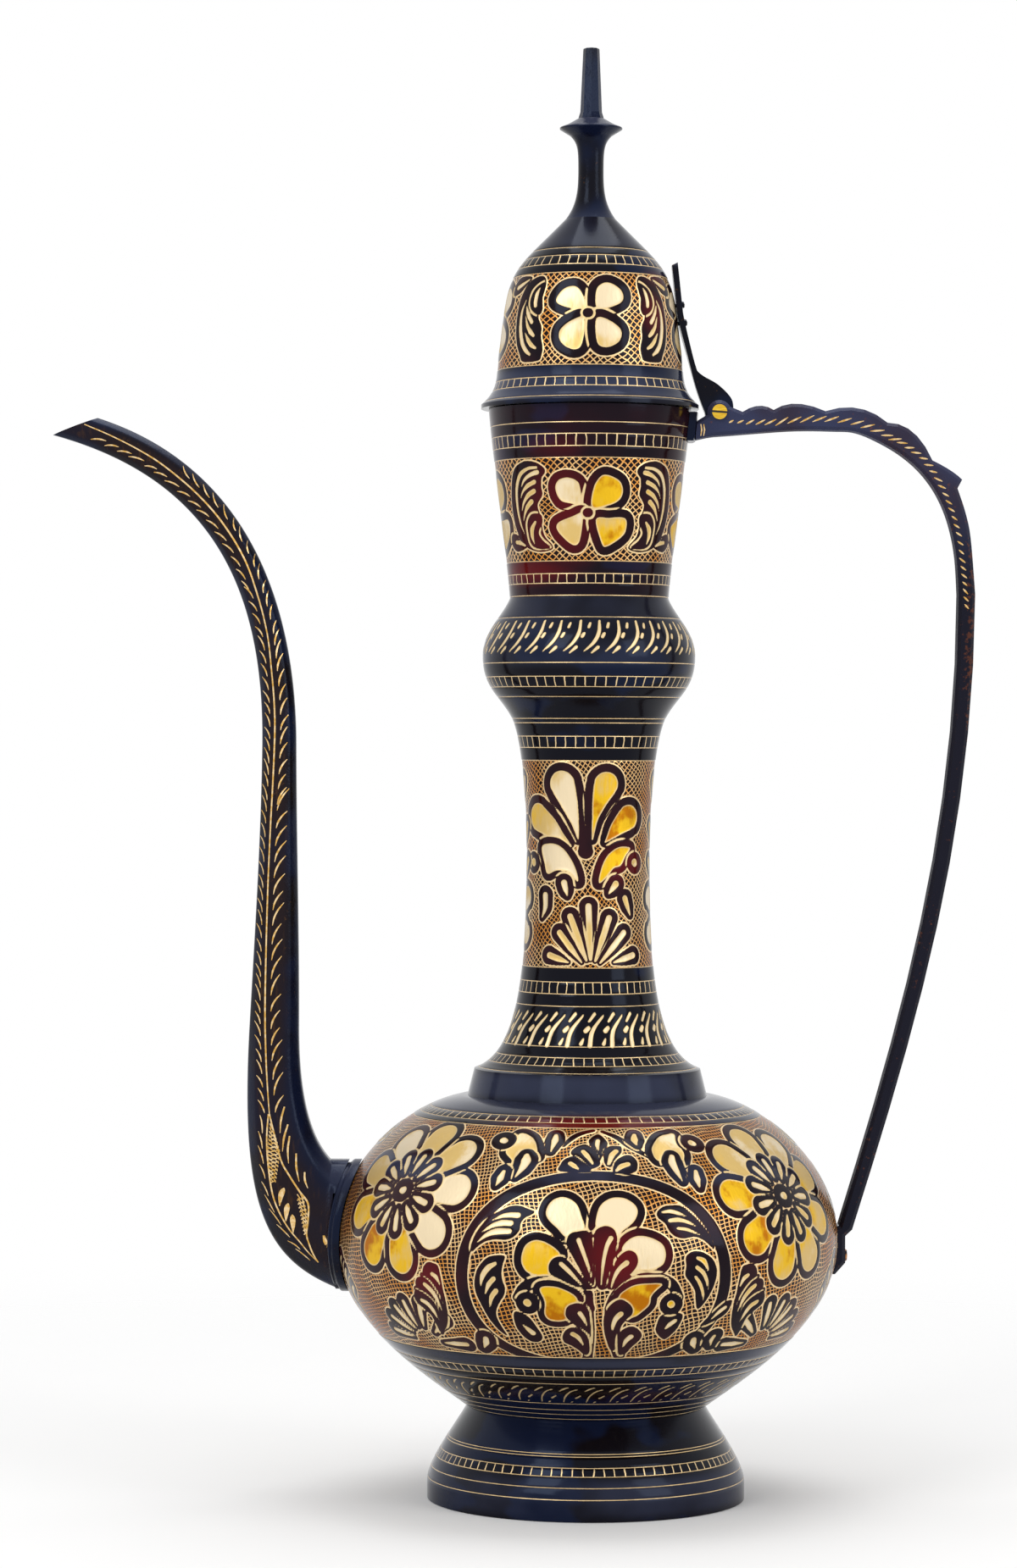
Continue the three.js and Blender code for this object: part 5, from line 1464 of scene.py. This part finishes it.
# The feather on the spout's faces, as x and z from the vessel's axis: its spine from the panel at the root
# up to the beak, and the panel's two outlines from its tip down to the mount
SPINE = [(-124.4, 150.5), (-125.1, 159.1), (-125.9, 172.4), (-126.4, 190.6), (-126.1, 215.5),
         (-125.5, 240.4), (-124.6, 263.7), (-123.7, 281.9), (-123.1, 299.9), (-123.4, 311.8),
         (-124.5, 324.3), (-126.2, 338.4), (-130, 353.3), (-135.5, 368.2), (-144.3, 382.4), (-154.7, 394),
         (-167.2, 404.4), (-177.1, 410.6), (-188, 416.1), (-198.4, 420.5)]
PANEL_INNER = [(-124.4, 150.5), (-122.4, 142.5), (-119.7, 132.5), (-116.4, 126.6), (-112.4, 120.6),
               (-109, 115.9), (-109, 109.3), (-109.6, 104), (-108.6, 100), (-107, 96), (-105, 92.7)]
PANEL_OUTER = [(-124.8, 150.5), (-125.4, 142.5), (-125.2, 134.5), (-124, 123.9), (-122.3, 116.6),
               (-119.6, 110.6), (-116.3, 105.3), (-112.3, 100.7), (-109, 96.7), (-105, 92.7)]
# The panel's hatched patches: levels, and x of the left and right edge at its ends and middle
PATCHES = ((123.5, 146, (-124.2, -125.2, -124), (-121.8, -120, -123.4)),
           (103.6, 118.6, (-110.6, -112, -113.6), (-109.5, -109.3, -111.2)))
PATCH_PITCH = 1.5
COMMAS = ((-118.4, 121.8, -1.9), (-116.8, 115.8, -1), (-115.2, 111.4, 0.3))
SPIKES = (((-118.6, 153.4), (-120.2, 143.2)), ((-117.2, 146.5), (-119.2, 136)),
          ((-116.5, 142), (-116.8, 131.4)), ((-113.9, 135.2), (-112.6, 124.4)),
          ((-110.5, 128), (-109.2, 121.8)))
# Rows of barbs beside the spine: which side of it, pitch, near and far end, height, half width, and where
# along the spine the row starts and ends
SPINE_BARBS = ((-1, 4.9, 1.9, 4.0, 5.6, 0.3, 0, 0.68), (-1, 5.6, 2.6, 4.4, 5.8, 0.33, 0.68, 0.97),
               (1, 6.8, 2.3, 6.2, 8, 0.36, 0, 0.4), (1, 5.6, 2.2, 5.2, 6.6, 0.36, 0.4, 0.62),
               (1, 5.2, 2.4, 4.6, 5.2, 0.3, 0.62, 0.86))
PANEL_BARBS = (1, 6, 1.8, 3.4, -6.4, 0.3, 0.12, 0.98)
CUT_RISE = 0.11
RAY_START = 60
FACE_EDGE = 0.94
OFF_FACE = 1.3
OFF_FACE_COST = 99
spout_tree = BVHTree.FromPolygons(spout_tube[0].tolist(), spout_tube[1])


def spout_spot(x, z, side):
    """The point of the spout's side face at x and z, and the outward direction there."""
    away = np.array([x, z]) - middle_rail
    across = (away * rail_across).sum(axis=1) / half_widths
    along = np.abs(away[:, 0] * rail_across[:, 1] - away[:, 1] * rail_across[:, 0])
    i = int(np.argmin(along + OFF_FACE_COST * (np.abs(across) > OFF_FACE)))
    shift = (float(np.clip(across[i], -FACE_EDGE, FACE_EDGE)) - across[i]) * half_widths[i]
    x, z = x + rail_across[i][0] * shift, z + rail_across[i][1] * shift
    hit, normal, _, _ = spout_tree.ray_cast(Vector((x, -side * RAY_START, z)), Vector((0, side, 0)))
    return np.array(hit), np.array(normal)


def spout_cut(path, halves, side, steps=5):
    """A cut on one side face of the spout, given by its path and its half widths from end to end."""
    path = smooth_line(path, steps=steps)
    halves = np.interp(np.linspace(0, 1, len(path)), np.linspace(0, 1, len(halves)), halves)
    points, normals = zip(*[spout_spot(x, z, side) for x, z in path])
    return chip(points, normals, halves, CUT_RISE)


def barbs(path, side, toward, pitch, near, far, tall, half, start, end):
    """Short cuts beside a line, each leaning away from it upwards. toward is 1 for the inner side."""
    parts = []
    curve = smooth_line(path)
    lengths = lengths_along(curve)

    def spot(place, out):
        (x, z), (next_x, next_z) = (
            [np.interp(place + step, lengths, curve[:, i]) for i in (0, 1)] for step in (-1, 1))
        run_x, run_z = next_x - x, next_z - z
        size = math.hypot(run_x, run_z) or 1
        return ((x + next_x) / 2 + toward * out * run_z / size,
                (z + next_z) / 2 - toward * out * run_x / size)

    at = start * lengths[-1]
    while at < end * lengths[-1]:
        reach = tall * rng.uniform(0.85, 1.15)
        wide = (far - near) * rng.uniform(0.85, 1.1)
        parts.append(spout_cut([spot(at + up * reach, near + out * wide)
                                for up, out in ((0, 0), (0.35, 0.15), (0.7, 0.5), (1, 1))],
                               [0.12, half, half * 0.9, 0.12], side))
        at += pitch * rng.uniform(0.88, 1.12)
    return parts


def spout_feather(side):
    """The feather's spine with its rows of barbs, and the barbs inside the panel."""
    parts = [spout_cut(SPINE, [0.22, 0.34, 0.28, 0.34, 0.26, 0.36, 0.3, 0.2], side, 6)]
    for row in SPINE_BARBS:
        parts += barbs(SPINE, side, *row)
    return parts + barbs(PANEL_OUTER, side, *PANEL_BARBS)


def hatched_patch(low, high, left, right, side):
    """Slanted cuts across a patch, each crossed by two shorter ones."""
    parts = []
    for k in range(int((high - low) / PATCH_PITCH)):
        level = low + PATCH_PITCH * k
        start, end = (np.interp((level - low) / (high - low), [0, 0.5, 1], edge) for edge in (left, right))
        middle = (start + end) / 2
        parts += [spout_cut([(start, level), (end, level + 1.1)], [0.22, 0.22], side),
                  spout_cut([(start, level + 2.4), (middle, level + 0.6)], [0.2, 0.2], side),
                  spout_cut([(middle, level + 2.6), (end, level + 0.4)], [0.2, 0.2], side)]
    return parts


def spout_panel(side):
    """The pointed panel at the root: outlines, two hatched patches, three commas and the spikes beside it."""
    parts = [spout_cut(PANEL_INNER, [0.3, 0.36, 0.3], side), spout_cut(PANEL_OUTER, [0.3, 0.34, 0.2], side)]
    for patch in PATCHES:
        parts += hatched_patch(*patch, side)
    for x, z, lean in COMMAS:
        parts.append(spout_cut([(x, z), (x + lean * 0.7, z - 3), (x + lean, z - 7.2)],
                               [0.2, 0.85, 1.1, 1.15, 1, 0.8, 0.45, 0.15], side, 8))
    for top, low in SPIKES:
        middle = (np.array(top) + low) / 2 + (-0.5, 0)
        parts.append(spout_cut([top, middle, low], [0.3, 0.4, 0.12], side))
    parts.append(spout_cut([(-102.8, 103.6), (-102.2, 101.4), (-101.5, 99.2)], [0.4, 0.9, 0.5], side))
    return parts


gilt = cut_brass()
cast_piece("spout_cuts", [part for face in (1, -1) for part in spout_feather(face) + spout_panel(face)], gilt)

# Cuts on the handle's two faces, placed from the hinge
HANDLE_FACE = 6.2
PIVOT = np.array([50.7, 426.3])
TICK_PATH = np.array([(4, -3.7), (12, -3.9), (21.7, -3.9), (33.9, -2.6), (46.1, -2.6), (56.1, -4.4),
                      (63.9, -8), (72.8, -12.4), (80.6, -18.3), (85.6, -25.6), (89.4, -33.3),
                      (92.2, -41.1), (94.4, -48.9), (95.3, -56.7), (96.1, -63.3), (96.7, -70), (97.2, -76)])
TICK_ANGLE = (28, 29, 30, 26, 23, 15, 5, -4, -8, -19, -26, -34, -37, -39, -41, -46, -49)
TICK_HALF = ([0, 6, 17, 50, 70, 85, 145], [1.0, 1.7, 3.0, 2.9, 2.3, 1.7, 1.25])
TICK_PITCH = ([0, 10, 20, 45, 65, 145], [3.4, 3.8, 4.8, 4.8, 3.5, 3.25])
FIRST_TICK = 0.6


def face_cut(path, halves, side):
    """A cut on one flat face of the handle."""
    points = [(x, -side * HANDLE_FACE, z) for x, z in path]
    return chip(points, [(0, -side, 0)] * len(points), halves)


def handle_cuts():
    """Slanted strokes down the arm and grip, and two small upright cuts beside the screw, on both faces."""
    parts = []
    lengths = lengths_along(TICK_PATH)
    for side in (1, -1):
        at = FIRST_TICK
        while at < lengths[-1]:
            middle = PIVOT + [np.interp(at, lengths, TICK_PATH[:, i]) for i in (0, 1)]
            aim = aim_at(np.interp(at, lengths, TICK_ANGLE) + rng.uniform(-5, 5))
            half = np.interp(at, *TICK_HALF) * rng.uniform(0.88, 1.12)
            parts.append(face_cut([middle + aim * half * t for t in (-1, -0.3, 0.4, 1)],
                                  [0.1, 0.36, 0.32, 0.1], side))
            at += np.interp(at, *TICK_PITCH) * rng.uniform(0.9, 1.1)
        for across in (-7.3, -6.2):
            path = [(PIVOT[0] + across + bow, PIVOT[1] + z) for z, bow in ((-9.4, 0), (-7, 0.35), (-4.8, 0))]
            parts.append(face_cut(path, [0.15, 0.28, 0.15], side))
    return parts


cast_piece("handle_cuts", handle_cuts(), gilt)


# Floor, lamps and camera, in metres
FLOOR_LEVEL = -0.0003


def floor_material():
    """Pale and matt, fading to clear away from the vessel."""
    m = bpy.data.materials.new("pale_floor")
    m.use_nodes = True
    nodes, links = m.node_tree.nodes, m.node_tree.links
    nodes.remove(nodes["Principled BSDF"])
    diffuse = nodes.new("ShaderNodeBsdfDiffuse")
    diffuse.inputs["Color"].default_value = (0.94, 0.94, 0.94, 1)
    clear = nodes.new("ShaderNodeBsdfTransparent")
    join = nodes.new("ShaderNodeMixShader")
    place = nodes.new("ShaderNodeTexCoord")
    length = nodes.new("ShaderNodeVectorMath")
    length.operation = "LENGTH"
    links.new(place.outputs["Object"], length.inputs[0])
    fade = Num(m.node_tree, length.outputs["Value"]).ramp(0.3, 0.85)
    for slot, socket in zip(join.inputs, (fade.socket, diffuse.outputs[0], clear.outputs[0])):
        links.new(socket, slot)
    links.new(join.outputs[0], nodes["Material Output"].inputs["Surface"])
    return m


def studio_floor():
    bpy.ops.mesh.primitive_circle_add(
        vertices=96, radius=1.0, fill_type="NGON", location=(AXIS_X, 0, FLOOR_LEVEL))
    floor = bpy.context.object
    floor.name = "floor"
    floor.data.materials.append(floor_material())


def studio_world():
    """White all round, brighter where the camera or a reflection sees it than where it lights."""
    world = bpy.data.worlds.new("studio")
    bpy.context.scene.world = world
    world.use_nodes = True
    tree = world.node_tree
    background = tree.nodes["Background"]
    background.inputs["Color"].default_value = (1, 1, 1, 1)
    rays = tree.nodes.new("ShaderNodeLightPath").outputs
    camera, glossy, through = (
        Num(tree, rays[f"Is {kind} Ray"]) for kind in ("Camera", "Glossy", "Transmission"))
    strength = camera.most(glossy).most(through).ramp(0, 1, 0.68, 1.0)
    tree.links.new(strength.socket, background.inputs["Strength"])


def soft_box(name, place, aim, width, height, power):
    """A lamp with a broad face, turned towards a point."""
    light = bpy.data.lights.new(name, "AREA")
    light.shape = "RECTANGLE"
    light.size, light.size_y = width, height
    light.energy = power
    lamp = bpy.data.objects.new(name, light)
    lamp.location = place
    lamp.rotation_euler = (Vector(aim) - Vector(place)).to_track_quat("-Z", "Y").to_euler()
    bpy.context.scene.collection.objects.link(lamp)


# The camera stands where the photograph was taken from.
PIXELS_PER_MM = 3.0
EYE_X = -0.00166
EYE_DISTANCE = 1.833
EYE_LEVEL = 0.2969
PICTURE_HEIGHT = 1851
PICTURE_CENTRE_LEVEL = 0.280
ROLL = math.radians(0.235)
SENSOR = 36


def photo_camera():
    data = bpy.data.cameras.new("camera")
    camera = bpy.data.objects.new("camera", data)
    bpy.context.scene.collection.objects.link(camera)
    camera.location = (EYE_X, -EYE_DISTANCE, EYE_LEVEL)
    camera.rotation_euler = (math.pi / 2, -ROLL, 0)
    view_height = PICTURE_HEIGHT / PIXELS_PER_MM * MM
    data.lens = SENSOR * EYE_DISTANCE / view_height
    data.shift_y = (PICTURE_CENTRE_LEVEL - EYE_LEVEL) / view_height
    bpy.context.scene.camera = camera


studio_floor()
studio_world()
soft_box("key_box", (-1.1, -1.5, 1.5), (0.03, 0, 0.28), 0.9, 1.2, 13.5)
soft_box("fill_box", (1.5, -1.1, 0.9), (0.03, 0, 0.28), 0.8, 1.2, 8)
soft_box("top_box", (0.1, 0.3, 1.9), (0.03, 0, 0.2), 1.0, 1.0, 9)
photo_camera()
bpy.context.scene.view_settings.view_transform = "Standard"

bpy.context.view_layer.update()
